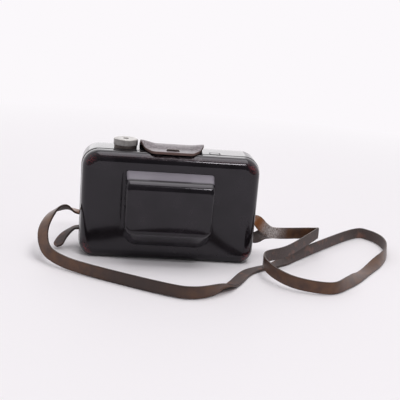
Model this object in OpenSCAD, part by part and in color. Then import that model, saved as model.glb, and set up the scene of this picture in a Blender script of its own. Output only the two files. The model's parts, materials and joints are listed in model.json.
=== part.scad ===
// Compact 35 mm viewfinder camera in its moulded leather ever-ready case, standing upside down.
// Millimetres. +Z is up as it stands, -Y is the front with the lens nose, z = 0 is the floor.

/* [Case] */
// Width of the case
case_w = 130; // [126:0.5:140]
// Height of the case as it stands
case_h = 77.5; // [75:0.5:90]
// Depth of the case without the nose
case_d = 40; // [38:0.5:48]
// Thickness of the moulded leather
wall = 2.3; // [1.8:0.1:2.6]
// Radius of the two upper corners, seen from the front
top_corner_r = 10.5; // [8:0.5:14]
// Radius of the two lower corners, seen from the front
low_corner_r = 8; // [6.5:0.5:12]
// How much tighter the corners are inside than outside, where the leather was stretched
corner_thinning = 1.3; // [0.8:0.1:1.5]
// Rounding of the front edges of the lid
front_round = 4; // [3:0.5:6]
// Rounding of the back edges of the case
back_round = 5; // [3:0.5:7]
// Depth of the rim of the lid
lid_depth = 12; // [9:0.5:14]
// Gap between the lid and the case
seam_gap = 0.3; // [0.2:0.05:0.5]
// Thickness of the lip that the lid closes over
lip_t = 1.3; // [1:0.1:1.5]
// How far the lip reaches into the lid
lip_reach = 4.5; // [3:0.5:6]
// Distance from each side of the case to the opening over the camera's controls
mouth_end = 13; // [12:0.5:17]
// Air between the camera and the leather on each side
side_air = 4.7; // [4.5:0.1:6]
// Air between the camera's knobs and the leather below them
knob_air = 1.9; // [1.5:0.1:2.5]

/* [Nose] */
// How far the nose stands out of the lid
nose_depth = 18; // [17.5:0.5:24]
// Sideways place of the nose
nose_x = -1; // [-3:0.5:3]
// Half width of the nose at its base
nose_base_half = 31.7; // [28:0.1:36]
// Half width of the nose at its front
nose_front_half = 30.7; // [26:0.1:34]
// Upper edge of the nose at its base
nose_base_top = 64.5; // [62:0.5:68]
// Lower edge of the nose at its base
nose_base_low = 11.5; // [9:0.5:14]
// Upper edge of the nose at its front
nose_front_top = 61.6; // [61:0.2:64]
// Lower edge of the nose at its front
nose_front_low = 24; // [20:0.5:24]

/* [Tab] */
// Width of the leather hinge tab
tab_w = 46; // [40:1:52]
// Width of its narrow end on the lid
tab_end_w = 30; // [26:1:34]
// Thickness of its leather
tab_t = 1.8; // [1.4:0.1:2]
// How far it bows above the case
tab_bow = 3.4; // [2:0.2:4]
// How far it reaches down the back of the case
tab_drop = 16; // [13:1:20]
// Width of the slot in its end
tab_slot_w = 9.6; // [8:0.2:12]

/* [Strap] */
// Width of the strap
strap_w = 8.5; // [6:0.5:9.5]
// Thickness of the strap
strap_t = 1.6; // [1.2:0.1:1.8]
// Height of the middle of the two strap slots in each side
strap_z = 20.3; // [19:0.1:22]
// Distance between the two slots of a side
slot_pitch = 11.2; // [10.5:0.1:12]
// Place of the slots along the depth
strap_y = 6; // [4:0.5:8]

/* [Case screw] */
// Sideways place of the screw that holds the camera
screw_x = -33.5; // [-35:0.5:-32]
// Place of the screw along the depth
screw_y = 1; // [1:0.5:3]
// Diameter of its knurled head
head_d = 17.4; // [15:0.2:18]
// Height of its knurled head
head_h = 4.4; // [4:0.2:6]
// Height of the dark washer below the head
washer_h = 3.2; // [2:0.2:4]
// Diameter of that washer
washer_d = 16.4; // [14:0.2:16.4]
// Radius of the plain shank
shank_r = 3.1; // [2.8:0.05:3.1]
// Radius of the tripod hole in the head
bush_r = 2.6; // [2.2:0.05:2.8]
// Depth of the tripod hole
bush_depth = 5; // [4:0.5:6]

/* [Camera body] */
// Front of the camera body along the depth
cam_front = -14; // [-14.5:0.25:-13.5]
// Back of the camera body along the depth
cam_back = 13; // [12.5:0.25:13.5]
// Height of the top plate
top_h = 8.5; // [8:0.5:9]
// Thickness of the base plate
base_t = 1.5; // [1.2:0.1:2]
// Thickness of the hinged back door
door_t = 1.4; // [1:0.1:1.8]
// Radius of the film chambers
chamber_r = 12.6; // [12.2:0.1:12.8]
// Height of the knob that winds the film
wind_h = 6.6; // [6:0.1:7]
// Distance of the lens axis from the top plate
lens_drop = 21.3; // [21:0.1:21.8]

/* [Lens and shutter] */
// Radius of the shutter housing
housing_r = 18.5; // [18:0.1:18.7]
// Length of the shutter housing
housing_l = 7.2; // [7:0.1:7.6]
// Radius of the clear aperture
aperture_r = 6; // [5:0.1:6.2]
// Radius of the aperture ring
stop_ring_r = 18.6; // [17.5:0.1:18.8]
// Radius of the focusing ring
focus_ring_r = 15.4; // [14.6:0.1:16]
// Radius of the lens barrel
barrel_r = 12; // [11.8:0.1:12.2]
// Forward travel of the front cell in focusing
focus_travel = 1.2; // [0.6:0.1:1.4]

/* [Hidden] */
$fn = 64;

hair = 0.05;           // running clearance of a turning or sliding part
eps = 0.01;            // overlap that joins two solids of one piece
corner_fn = 44;        // smoothness of the moulded corners
front_y = -case_d / 2;
back_y = case_d / 2;
seam_y = front_y + lid_depth;
inner_top = case_h - wall;
tongue_t = wall + 0.1;
slot_h = strap_t + 2.4;
slot_l = strap_w + 2;
mouth_half = case_w / 2 - mouth_end;
knob_gap = 0.3;
cam_w = case_w - 2 * (wall + side_air);
body_h = inner_top - tongue_t - knob_air - wind_h - knob_gap - top_h;
lens_z = body_h - lens_drop;
chamber_x = (cam_w - cam_back + cam_front) / 2;

// Points of an arc from angle a0 to a1
function arc(cx, cy, r, a0, a1, n = 6) =
    [for (i = [0:n]) let (a = a0 + (a1 - a0) * i / n) [cx + r * cos(a), cy + r * sin(a)]];

// Round disc along Y from y0 to y1, with its rims rounded by r0 and r1 in steps of an arc
module puck(r, y0, y1, r0, r1, steps = 6) {
    h = y1 - y0;
    translate([0, y0, 0]) rotate([-90, 0, 0]) rotate_extrude($fn = corner_fn)
        polygon(concat(
            [[0, 0]], arc(r - r0, r0, r0, -90, 0, steps), arc(r - r1, h - r1, r1, 0, 90, steps), [[0, h]]));
}

// The moulded block of the case, drawn in by inset on every side
module case_block(inset) {
    r0 = max(front_round - inset, 0.8);
    r1 = max(back_round - inset, 0.8);
    steps = inset > 0 ? 3 : 6;
    thinner = inset > 0 ? corner_thinning : 0;
    up = top_corner_r - inset - thinner;
    low = low_corner_r - inset - thinner;
    hull() for (s = [-1, 1]) {
        translate([s * (case_w / 2 - inset - up), 0, case_h - inset - up])
            puck(up, front_y + inset, back_y - inset, r0, r1, steps);
        translate([s * (case_w / 2 - inset - low), 0, inset + low])
            puck(low, front_y + inset, back_y - inset, r0, r1, steps);
    }
}

// A slab across the whole case between two depths
module slab(y0, y1, reach = 200) translate([-reach, y0, -reach]) cube([2 * reach, y1 - y0, 2 * reach]);

// The moulded nose, drawn in by inset on every side
module nose_block(inset) {
    low_base_r = 12;
    low_front_r = 7;
    up_r = 3.4;
    rim = 1.2;
    y_root = front_y + (inset > 0 ? wall + 1 : 1.5);
    y_tip = front_y - nose_depth + inset;
    slope = (nose_front_low - nose_base_low) / nose_depth;
    lift = inset * sqrt(1 + slope * slope);
    hull() for (s = [-1, 1]) {
        translate([nose_x + s * (nose_base_half - inset - up_r), y_root, nose_base_top - inset - up_r])
            rotate([90, 0, 0]) cylinder(r = up_r, h = 1, $fn = 32);
        translate([nose_x + s * (nose_base_half - inset - low_base_r), y_root,
                nose_base_low + lift + low_base_r])
            rotate([90, 0, 0]) cylinder(r = low_base_r, h = 1, $fn = 32);
        translate([nose_x + s * (nose_front_half - inset - up_r), 0, nose_front_top - inset - up_r])
            puck(up_r, y_tip, y_tip + 3, rim, 0.2, 3);
        translate([nose_x + s * (nose_front_half - inset - low_front_r), 0,
                nose_front_low + lift + low_front_r])
            puck(low_front_r, y_tip, y_tip + 3, rim, 0.2, 3);
    }
}

module strap_slots() for (s = [-1, 1], k = [-0.5, 0.5])
    translate([s * case_w / 2, strap_y, strap_z + k * slot_pitch])
        cube([2 * wall + 3, slot_l, slot_h], center = true);

module case_back() {
    square_mark = [31, -3.2, 7.6, 6.6];
    color("#26242a") {
        difference() {
            case_block(0);
            case_block(wall);
            slab(-100, seam_y + seam_gap / 2);
            translate([-mouth_half, -60, -1])
                cube([2 * mouth_half, 60 + back_y - back_round + seam_gap, wall + 3]);
            strap_slots();
            translate([screw_x, screw_y, inner_top - 1]) cylinder(r = shank_r + 0.3, h = wall + 2);
            translate([square_mark[0], square_mark[1], case_h - 0.25]) linear_extrude(1) difference() {
                square([square_mark[2], square_mark[3]], center = true);
                square([square_mark[2] - 1.2, square_mark[3] - 1.2], center = true);
            }
        }
        difference() {
            case_block(wall + seam_gap);
            case_block(wall + seam_gap + lip_t);
            slab(-100, seam_y - lip_reach);
            slab(seam_y + 2, 100);
            translate([-cam_w / 2 - seam_gap, -50, -50])
                cube([cam_w + 2 * seam_gap, 100, 200]);
        }
        // Shoulders that join the lip to the side walls
        difference() {
            case_block(wall - 0.2);
            case_block(wall + seam_gap + lip_t);
            slab(-100, seam_y + seam_gap / 2);
            slab(seam_y + 2, 100);
            translate([-cam_w / 2 - seam_gap, -50, -50])
                cube([cam_w + 2 * seam_gap, 100, 200]);
        }
    }
}

module lid() {
    color("#232226") difference() {
        union() {
            difference() {
                case_block(0);
                slab(seam_y - seam_gap / 2, 100);
            }
            nose_block(0);
            // Tongue that closes the opening over the controls
            translate([-mouth_half + seam_gap, seam_y - 2, 0])
                cube([2 * (mouth_half - seam_gap), back_y - back_round - seam_y + 2, tongue_t]);
        }
        difference() {
            case_block(wall);
            slab(seam_y, 100);
            translate([-200, -100, -1]) cube([400, 200, tongue_t + 1]);
        }
        nose_block(wall - 0.1);
        translate([-tab_slot_w / 2 + 0.4, staple_y - staple_d / 2, inner_top - 1])
            cube([staple_d, staple_d, wall + 2]);
        translate([tab_slot_w / 2 - 0.4 - staple_d, staple_y - staple_d / 2, inner_top - 1])
            cube([staple_d, staple_d, wall + 2]);
    }
}

// Leather tab

staple_y = seam_y - 4.6;
staple_d = 1.6;
tab_gap = 0.1;          // air under the leather where it lies on the case
tab_front = front_y + 1.4;

// Height of the under side of the tab above the case, from 0 at the seam
function bow_at(t) = tab_gap + tab_bow * pow(sin(180 * pow(t, 0.8)), 1.2);

// Centre line of the bowed tab, from the seam over the top and down the back
function tab_line(off) = let (y0 = seam_y + seam_gap / 2, y1 = back_y - back_round, n = 18) concat(
    [for (i = [0:n]) let (t = i / n) [y0 + (y1 - y0) * t, case_h + bow_at(t) + off]],
    arc(y1, case_h - back_round, back_round + tab_gap + off, 84, 0, 7),
    [[back_y + tab_gap + off, case_h - back_round - tab_drop]]);

// Outline of the whole tab seen from above
module tab_outline(y0, y1) intersection() {
    polygon([
        [-tab_w / 2, back_y + 9], [-tab_w / 2, seam_y + 8], [-tab_end_w / 2, tab_front + 1.5],
        [-tab_end_w / 2 + 2, tab_front], [tab_end_w / 2 - 2, tab_front], [tab_end_w / 2, tab_front + 1.5],
        [tab_w / 2, seam_y + 8], [tab_w / 2, back_y + 9]
    ]);
    translate([-100, y0]) square([200, y1 - y0]);
}

function reversed(v) = [for (i = [len(v) - 1:-1:0]) v[i]];

module tab_base() {
    under = tab_line(0);
    over = tab_line(tab_t);
    color("#3a2b26") difference() {
        intersection() {
            rotate([90, 0, 90]) linear_extrude(tab_w, center = true)
                polygon(concat(under, reversed(over)));
            translate([0, 0, 20]) linear_extrude(100) tab_outline(seam_y + seam_gap / 2, back_y + 8);
        }
        for (s = [-1, 1]) translate([s * tab_rivet_x, back_y - 1, tab_rivet_z])
            rotate([-90, 0, 0]) cylinder(r = rivet_r + hair, h = 6);
    }
}

module tab_end() color("#3a2b26") difference() {
    translate([0, 0, case_h + tab_gap]) linear_extrude(tab_t)
        tab_outline(tab_front - 1, seam_y - seam_gap / 2);
    translate([0, staple_y, case_h + tab_t / 2]) cube([tab_slot_w, staple_d + 1.2, 3 * tab_t], center = true);
}

rivet_r = 1.2;
tab_rivet_x = 14;
tab_rivet_z = case_h - back_round - tab_drop + 5;

module tab_rivets() color("#6d6a66") for (s = [-1, 1]) translate([s * tab_rivet_x, back_y, tab_rivet_z])
    rotate([-90, 0, 0]) {
        cylinder(r = rivet_r, h = tab_gap + tab_t + 0.2);
        translate([0, 0, tab_gap + tab_t]) cylinder(r = 2.6, h = 0.7);
    }

module lid_staple() color("#2b2725") {
    half = tab_slot_w / 2 - 0.4;
    for (s = [-1, 1])
        translate([s * (half - staple_d / 2), staple_y, inner_top + 0.2 + (tab_t + wall + 0.3) / 2])
        cube([staple_d - 0.2, staple_d - 0.2, tab_t + wall + 0.3], center = true);
    translate([0, staple_y, case_h + tab_t + 0.8]) cube([2 * half - 0.2, staple_d - 0.2, 1], center = true);
}

// Screw that holds the camera in the case

module screw_washer() color("#2a2724") translate([screw_x, screw_y, case_h]) difference() {
    cylinder(d = washer_d, h = washer_h - hair);
    translate([0, 0, -1]) cylinder(r = shank_r + hair, h = washer_h + 2);
}

socket_depth = 5;

module retaining_screw() {
    head_z = case_h + washer_h;
    teeth = 48;
    color("#b4b2ac") translate([screw_x, screw_y, 0]) difference() {
        union() {
            translate([0, 0, head_z]) difference() {
                rotate_extrude() polygon([
                    [0, 0], [head_d / 2 - 0.6, 0], [head_d / 2, 0.5], [head_d / 2, head_h - 0.7],
                    [head_d / 2 - 0.7, head_h], [0, head_h]
                ]);
                for (i = [0:teeth - 1]) rotate(i * 360 / teeth)
                    translate([head_d / 2 + 0.12, 0, -1]) rotate(45)
                        cube([0.7, 0.7, 2 * head_h + 2], center = true);
            }
            translate([0, 0, inner_top - socket_depth + 1])
                cylinder(r = shank_r, h = head_z - inner_top + socket_depth - 1 + eps);
        }
        translate([0, 0, head_z + head_h - bush_depth]) cylinder(r = bush_r, h = bush_depth + 1);
    }
}

// Strap

// Route of the middle of the strap: point, and the direction of its width
UP = [0, 0, 1];
DOWN = [0, 0, -1];
FRONT = [0, -1, 0];
low_slot = strap_z - slot_pitch / 2;
high_slot = strap_z + slot_pitch / 2;
side_x = case_w / 2;
in_x = side_x - wall - strap_t / 2 - 0.5;   // the strap passes behind the side wall here
STRAP = [
    [[-79, -5, 2.4], [0.8, -0.2, -0.55]],
    [[-75, 2, 8.5], [0.7, -0.6, -0.4]],
    [[-side_x - 3, strap_y, low_slot - 0.8], FRONT],
    [[-in_x - 0.2, strap_y, low_slot + 1.3], FRONT],
    [[-in_x - 0.2, strap_y, high_slot - 1.3], FRONT],
    [[-side_x - 3, strap_y, high_slot + 1.2], FRONT],
    [[-76, 2, 30], [0.5, -0.85, 0.05]],
    [[-83, -8, 28.5], [0.8, -0.55, 0.2]],
    [[-88, -24, 20], [0.85, -0.3, 0.4]],
    [[-85, -39, 10.5], [0.6, -0.3, 0.7]],
    [[-74, -50, 5.8], [0.2, -0.1, 0.95]],
    [[-52, -67, 4.6], UP],
    [[-4, -98, 4.6], UP],
    [[14, -103, 4.6], UP],
    [[30, -93, 4.4], [0.25, -0.25, 0.95]],
    [[43, -72, 1.6], [0.9, -0.4, 0.05]],
    [[58, -40, 1.1], [0.9, -0.45, 0]],
    [[79, -21, 1.1], [0.65, -0.75, 0]],
    [[103, 3, 4.6], [0.1, -0.1, -1]],
    [[156, 67, 4.6], DOWN],
    [[171, 67, 4.6], DOWN],
    [[177, 44, 4.6], DOWN],
    [[169, 10, 4.2], [0.2, 0, -0.95]],
    [[145, -28, 1.2], [0.8, -0.5, -0.1]],
    [[124, -64, 4.4], [0.3, -0.2, -0.95]],
    [[108, -80, 4.6], DOWN],
    [[84, -76, 6.4], DOWN],
    [[70, -58, 9.2], DOWN],
    [[69.5, -35, 10.8], DOWN],
    [[88, -21, 12.6], DOWN],
    [[115, 15.5, 16.2], DOWN],
    [[113.5, 18.6, 16.6], DOWN],
    [[82, 3.6, 19], [0, -0.25, -0.97]],
    [[73.5, 5.4, 22], [0, -0.85, -0.5]],
    [[side_x + 2.5, strap_y, high_slot + 1.2], FRONT],
    [[in_x + 0.2, strap_y, high_slot - 1.3], FRONT],
    [[in_x + 0.2, strap_y, low_slot + 1.3], FRONT],
    [[side_x + 2.5, strap_y, low_slot - 0.6], FRONT],
    [[74, 7.2, 17], [0, -0.7, -0.7]],
    [[84, 6.9, 18.6], [0, -0.2, -0.97]]
];
strap_steps = 2;

function unit(v) = v / norm(v);
function clampi(i, n) = min(max(i, 0), n - 1);
// Smooth curve through the points of a list, at t between point i and the next
function blend_at(list, i, t) = let (
    n = len(list),
    p0 = list[clampi(i - 1, n)], p1 = list[i], p2 = list[clampi(i + 1, n)], p3 = list[clampi(i + 2, n)]
) 0.5 * (2 * p1 + (p2 - p0) * t + (2 * p0 - 5 * p1 + 4 * p2 - p3) * t * t
    + (3 * p1 - p0 - 3 * p2 + p3) * t * t * t);
function run(list, steps) = concat(
    [for (i = [0:len(list) - 2], k = [0:steps - 1]) blend_at(list, i, k / steps)], [list[len(list) - 1]]);
strap_points = run([for (s = STRAP) s[0]], strap_steps);
strap_widths = run([for (s = STRAP) s[1]], strap_steps);

module strap() {
    pts = strap_points;
    n = len(pts);
    bev = 0.35;
    section = [
        [-strap_w / 2, -strap_t / 2 + bev], [-strap_w / 2 + bev, -strap_t / 2],
        [strap_w / 2 - bev, -strap_t / 2],
        [strap_w / 2, -strap_t / 2 + bev], [strap_w / 2, strap_t / 2 - bev], [strap_w / 2 - bev, strap_t / 2],
        [-strap_w / 2 + bev, strap_t / 2], [-strap_w / 2, strap_t / 2 - bev]
    ];
    m = len(section);
    rings = [for (i = [0:n - 1]) let (
        along = unit(pts[clampi(i + 1, n)] - pts[clampi(i - 1, n)]),
        w = unit(strap_widths[i] - along * (strap_widths[i] * along)),
        face = cross(along, w)
    ) for (q = section) pts[i] + w * q[0] + face * q[1]];
    sides = [for (i = [0:n - 2], j = [0:m - 1]) let (
        a = i * m + j, b = i * m + (j + 1) % m, c = b + m, d = a + m
    ) each [[a, b, c], [a, c, d]]];
    first = [for (j = [1:m - 2]) [0, j + 1, j]];
    last = [for (j = [1:m - 2]) let (o = (n - 1) * m) [o, o + j, o + j + 1]];
    color("#4a352b") polyhedron(points = rings, faces = concat(sides, first, last));
}

// Camera: drawn upright with z = 0 at its base, then turned over into the case

lens_x = -nose_x;
board_t = 2.8;
board_r = 25;
board_y = cam_front - board_t;
housing_y = board_y - housing_l;
cell_r = barrel_r - 1.4;
glass_r = 8.8;

module carried() translate([0, 0, inner_top]) rotate([0, 180, 0]) children();

// Puts a child, drawn along +Z, on the lens axis with z running forward from the depth y
module on_axis(y) translate([lens_x, y, lens_z]) rotate([90, 0, 0]) children();

// Outline of the camera seen from above, drawn in by inset
module body_plan(inset = 0) {
    mid = (cam_front + cam_back) / 2;
    r = (cam_back - cam_front) / 2;
    for (s = [-1, 1]) translate([s * (cam_w / 2 - r), mid]) circle(r = r - inset);
    translate([0, mid]) square([cam_w - 2 * r, 2 * (r - inset)], center = true);
}

film_y = 7.5;            // depth of the film plane
gate = [36, 24];
ceiling = body_h - 1.5;  // inner top of the film chambers
shaft_r = 2.4;
chamber_floor = 6.5;

module camera_body() carried() color("#4b4b4d") difference() {
    translate([0, 0, base_t]) linear_extrude(body_h - base_t) body_plan(0.8);
    for (s = [-1, 1]) translate([s * chamber_x, 0, chamber_floor]) {
        cylinder(r = chamber_r, h = ceiling - chamber_floor);
        translate([-chamber_r, 0, 0]) cube([2 * chamber_r, 30, ceiling - chamber_floor]);
        translate([0, 0, -20]) cylinder(r = shaft_r + hair, h = 100);
    }
    translate([-chamber_x, film_y, chamber_floor]) cube([2 * chamber_x, 30, ceiling - chamber_floor]);
    translate([lens_x - gate[0] / 2, cam_front + 6, lens_z - gate[1] / 2]) cube([gate[0], 30, gate[1]]);
    translate([lens_x, 0, lens_z]) rotate([90, 0, 0]) cylinder(r = 11, h = 30);
    translate([-sprocket_x, sprocket_y, chamber_floor])
        cylinder(r = sprocket_r + 1.5, h = ceiling - chamber_floor);
    translate([-sprocket_x, sprocket_y, -1]) cylinder(r = shaft_r - 0.6 + hair, h = 100);
    translate([-screw_x, screw_y, -1]) cylinder(r = socket_r + hair, h = 1 + socket_flange);
    for (p = top_screw_at) translate([p[0], p[1], ceiling - 1]) cylinder(r = 0.8, h = 10, $fn = 32);
}

module body_covering() carried() color("#2c2a2c") difference() {
    translate([0, 0, base_t + 1]) linear_extrude(body_h - base_t - 2) difference() {
        body_plan(0);
        body_plan(0.8);
        translate([-200, cam_back - 3.2]) square([400, 20]);
    }
    on_axis(cam_front + 2) cylinder(r = board_r + 0.2, h = 10);
}

socket_r = 5.2;
socket_flange = 6;

module tripod_socket() carried() color("#c2a35a") translate([-screw_x, screw_y, 0]) difference() {
    union() {
        cylinder(r = socket_r, h = socket_flange - 0.2);
        cylinder(r = socket_r + 1.6, h = base_t - hair);
    }
    translate([0, 0, -1]) cylinder(r = shank_r + hair, h = socket_depth + 1);
}

base_bevel = 2.4;
base_screw_x = cam_w / 2 - 8;
top_screw_x = cam_w / 2 - 3;
base_screw_at = [[-base_screw_x, 0], [base_screw_x, 0], [0, cam_back - 5], [0, cam_front + 6]];
top_screw_at = [[-14, cam_back - 3.5], [36, cam_back - 3.5], [-top_screw_x, 0], [top_screw_x, 0]];

module base_plate() carried() color("#b9b8b4") difference() {
    hull() {
        linear_extrude(eps) body_plan(base_bevel);
        translate([0, 0, base_t - eps]) linear_extrude(eps) body_plan(0);
    }
    translate([-screw_x, screw_y, -1]) cylinder(r = socket_r + 1.6 + hair, h = base_t + 2);
    for (p = base_screw_at) translate([p[0], p[1], -1]) cylinder(r = 1.5 + hair, h = base_t + 2);
}

module base_screws() carried() color("#8f8d88") for (p = base_screw_at) translate([p[0], p[1], 0.1])
    screw_head(1.5, base_t - 0.1);

module screw_head(r, h) difference() {
    cylinder(r = r, h = h, $fn = 32);
    translate([0, 0, -0.2]) cube([3 * r, 0.4, 1], center = true);
}

module back_door() carried() color("#2c2a2c")
    translate([0, 0, base_t + 0.6]) linear_extrude(body_h - base_t - 1.2) difference() {
        body_plan(-door_t);
        body_plan(0.8 - hair);
        translate([-200, cam_back - 3.1 - 200]) square([400, 200]);
    }

plate = gate + [6, 10];  // the pressure plate reaches past the film gate all round
plate_pin_r = 1.2;

module pressure_plate() carried() color("#3c3b3d") difference() {
    translate([lens_x - plate[0] / 2, film_y + 0.4, lens_z - plate[1] / 2]) cube([plate[0], 1.2, plate[1]]);
    for (s = [-1, 1]) translate([lens_x + s * (plate[0] / 2 - 3), film_y, lens_z])
        rotate([-90, 0, 0]) cylinder(r = plate_pin_r, h = 3, $fn = 32);
}

module pressure_spring() carried() color("#9a9892") {
    n = 10;
    half = 15;
    y0 = film_y + 1.6;
    y1 = cam_back - 0.8;
    top = [for (i = [0:n]) let (t = -1 + 2 * i / n) [t * half, y1 - 0.6 - (y1 - y0 - 0.6) * t * t]];
    translate([lens_x, 0, lens_z - 4]) linear_extrude(8)
        polygon(concat(top, [for (i = [n:-1:0]) top[i] + [0, 0.6]]));
}

finder = [13, 5.6];      // width and height of the finder window
eyepiece = [8, 5];
finder_x = 24;
finder_z = body_h + top_h / 2 - 0.3;

module top_plate() carried() color("#c3c2be") difference() {
    union() {
        translate([0, 0, body_h]) linear_extrude(top_h - 1) body_plan(0);
        translate([0, 0, body_h + top_h - 1 - eps]) linear_extrude(1 + eps) body_plan(0.8);
    }
    translate([0, 0, body_h - 1]) linear_extrude(top_h - 0.5) body_plan(1.5);
    translate([finder_x, cam_front, finder_z]) cube([finder[0], 20, finder[1]], center = true);
    translate([finder_x, cam_back, finder_z]) cube([eyepiece[0], 20, eyepiece[1]], center = true);
    for (s = [-1, 1]) translate([s * chamber_x, 0, body_h]) cylinder(r = shaft_r + hair, h = 30);
    translate([release_at[0], release_at[1], body_h]) cylinder(r = release_r + hair, h = 30);
    translate([counter_at[0], counter_at[1], body_h]) cylinder(r = counter_shaft_r + hair, h = 30);
    for (p = top_screw_at) translate([p[0], p[1], body_h]) cylinder(r = 1.4 + hair, h = 30);
}

top_z = body_h + top_h;

module top_screws() carried() color("#8f8d88") for (p = top_screw_at) translate([p[0], p[1], 0])
    translate([0, 0, top_z + 0.3]) mirror([0, 0, 1]) {
        difference() {
            cylinder(r = 1.4, h = 2.3, $fn = 32);
            cube([4, 0.4, 0.6], center = true);
        }
        cylinder(r = 0.75, h = top_h + 1.3, $fn = 32);
    }

module finder_window() carried() color([0.7, 0.8, 0.85, 0.4]) translate([finder_x, cam_front + 0.9, finder_z])
    cube([finder[0] - 0.1, 1.6, finder[1] - 0.1], center = true);

module finder_eyepiece() carried() color([0.7, 0.8, 0.85, 0.4])
    translate([finder_x, cam_back - 0.9, finder_z])
        cube([eyepiece[0] - 0.1, 1.6, eyepiece[1] - 0.1], center = true);

shoe = [20, 18, 3.4];    // outside of the accessory shoe
shoe_wall = 1.2;
shoe_lip = 4;            // width of each rail with its wall

module accessory_shoe() carried() color("#c3c2be") translate([lens_x, 0, top_z]) difference() {
    translate([-shoe[0] / 2, -shoe[1] / 2, 0]) cube(shoe);
    translate([shoe_wall - shoe[0] / 2, -1 - shoe[1] / 2, shoe_wall])
        cube([shoe[0] - 2 * shoe_wall, shoe[1], 1.4]);
    translate([shoe_lip - shoe[0] / 2, -1 - shoe[1] / 2, shoe_wall])
        cube([shoe[0] - 2 * shoe_lip, shoe[1], shoe[2]]);
}

release_x = chamber_x - 13.5;
release_at = [-release_x, -3];
release_r = 3.6;
release_travel = 2.2;

module release_button() carried() color("#c3c2be") translate([release_at[0], release_at[1], 0]) difference() {
    translate([0, 0, body_h + release_travel + 0.2]) cylinder(r = release_r, h = top_h + 0.8);
    translate([0, 0, top_z]) cylinder(r = 1.1, h = 10);
}

// Knurled knob with its shaft: radius, height, length of the shaft below it
module camera_knob(r, h, shaft_l) {
    teeth = 30;
    difference() {
        union() {
            cylinder(r = r - 0.5, h = h);
            translate([0, 0, 0.8]) cylinder(r = r, h = h - 1.6);
        }
        for (i = [0:teeth - 1]) rotate(i * 360 / teeth)
            translate([r + 0.1, 0, h / 2]) rotate(45) cube([0.8, 0.8, h - 1.8], center = true);
    }
    translate([0, 0, -shaft_l]) cylinder(r = shaft_r, h = shaft_l + eps);
}

spool_top = ceiling - 0.4;
spool_r = chamber_r - 1.2;
knob_r = 9;
spool_slot = gate[1] - 2;

module wind_knob() carried() color("#bdbcb8") translate([-chamber_x, 0, top_z + knob_gap])
    camera_knob(knob_r, wind_h, top_z + knob_gap - spool_top);

module take_up_spool() carried() color("#323234") translate([-chamber_x, 0, 0]) difference() {
    union() {
        translate([0, 0, chamber_floor + 0.3]) cylinder(r = spool_r, h = 1.6);
        translate([0, 0, spool_top - 1.6]) cylinder(r = spool_r, h = 1.6);
        translate([0, 0, chamber_floor + 0.3]) cylinder(r = 5.6, h = spool_top - chamber_floor - 0.3);
        translate([0, 0, 3]) cylinder(r = shaft_r, h = chamber_floor);
    }
    translate([-1, -10, lens_z - spool_slot / 2]) cube([2, 20, spool_slot]);
}

sprocket_x = chamber_x - 19;
sprocket_y = 1.2;
sprocket_r = 4.6;

module sprocket_drum() carried() color("#a8a6a1") translate([-sprocket_x, sprocket_y, 0]) {
    for (z = [lens_z - 14.1, lens_z + 14.1]) for (i = [0:7]) rotate(i * 45 + 10)
        translate([sprocket_r + 0.3, 0, z]) cube([1.4, 1.2, 1.3], center = true);
    for (z = [lens_z - 17.5, lens_z + 12]) translate([0, 0, z]) cylinder(r = sprocket_r, h = 5.5);
    translate([0, 0, chamber_floor - 2.5]) cylinder(r = shaft_r - 0.6, h = ceiling - chamber_floor + 4);
}

// The counter stands midway between the shoe and the release button
shoe_side = shoe[0] / 2 - lens_x;
release_side = release_x - release_r;
counter_at = [-(shoe_side + release_side) / 2, 3];
counter_r = (release_side - shoe_side) / 2 - 3;
counter_shaft_r = 1.5;

module frame_counter() carried() color("#d8d6d0") translate([counter_at[0], counter_at[1], 0]) {
    translate([0, 0, top_z + knob_gap]) difference() {
        cylinder(r = counter_r, h = 1.4);
        for (i = [0:11]) rotate(i * 30) translate([counter_r - 1, 0, 1.4])
            cube([1.8, 0.4, 0.5], center = true);
    }
    translate([0, 0, body_h + 0.4]) cylinder(r = counter_shaft_r, h = top_h + knob_gap);
}

module rewind_knob() carried() color("#bdbcb8") translate([chamber_x, 0, top_z + knob_gap])
    camera_knob(knob_r + 0.4, wind_h - 0.6, top_z + knob_gap - spool_top);

module rewind_fork() carried() color("#8f8d88") translate([chamber_x, 0, 0]) difference() {
    union() {
        translate([0, 0, spool_top - 1.2]) cylinder(r = 5, h = 1.2);
        translate([0, 0, spool_top - 6]) cylinder(r = 3, h = 6);
    }
    translate([-1, -5, spool_top - 7]) cube([2, 10, 5]);
}

// Lens and shutter, front to back on the lens axis

board_screw_r = 21.8;

module lens_board() carried() color("#b9b8b4") on_axis(cam_front) difference() {
    cylinder(r = board_r, h = board_t);
    translate([0, 0, -1]) cylinder(r = 10.4, h = board_t + 2);
    for (i = [0:3]) rotate(45 + i * 90) translate([board_screw_r, 0, -1])
        cylinder(r = 1.2 + hair, h = board_t + 2);
}

module board_screws() carried() color("#8f8d88") on_axis(cam_front) for (i = [0:3])
    rotate(45 + i * 90) translate([board_screw_r, 0, board_t + 0.2])
        mirror([0, 0, 1]) screw_head(1.2, board_t + 0.1);

cavity_r = housing_r - 1.9;
skin = 1.1;
pin_ring_r = 12.3;
pin_r = 0.6;
blade_t = 0.25;
blade_hole = pin_r + hair;

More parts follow.
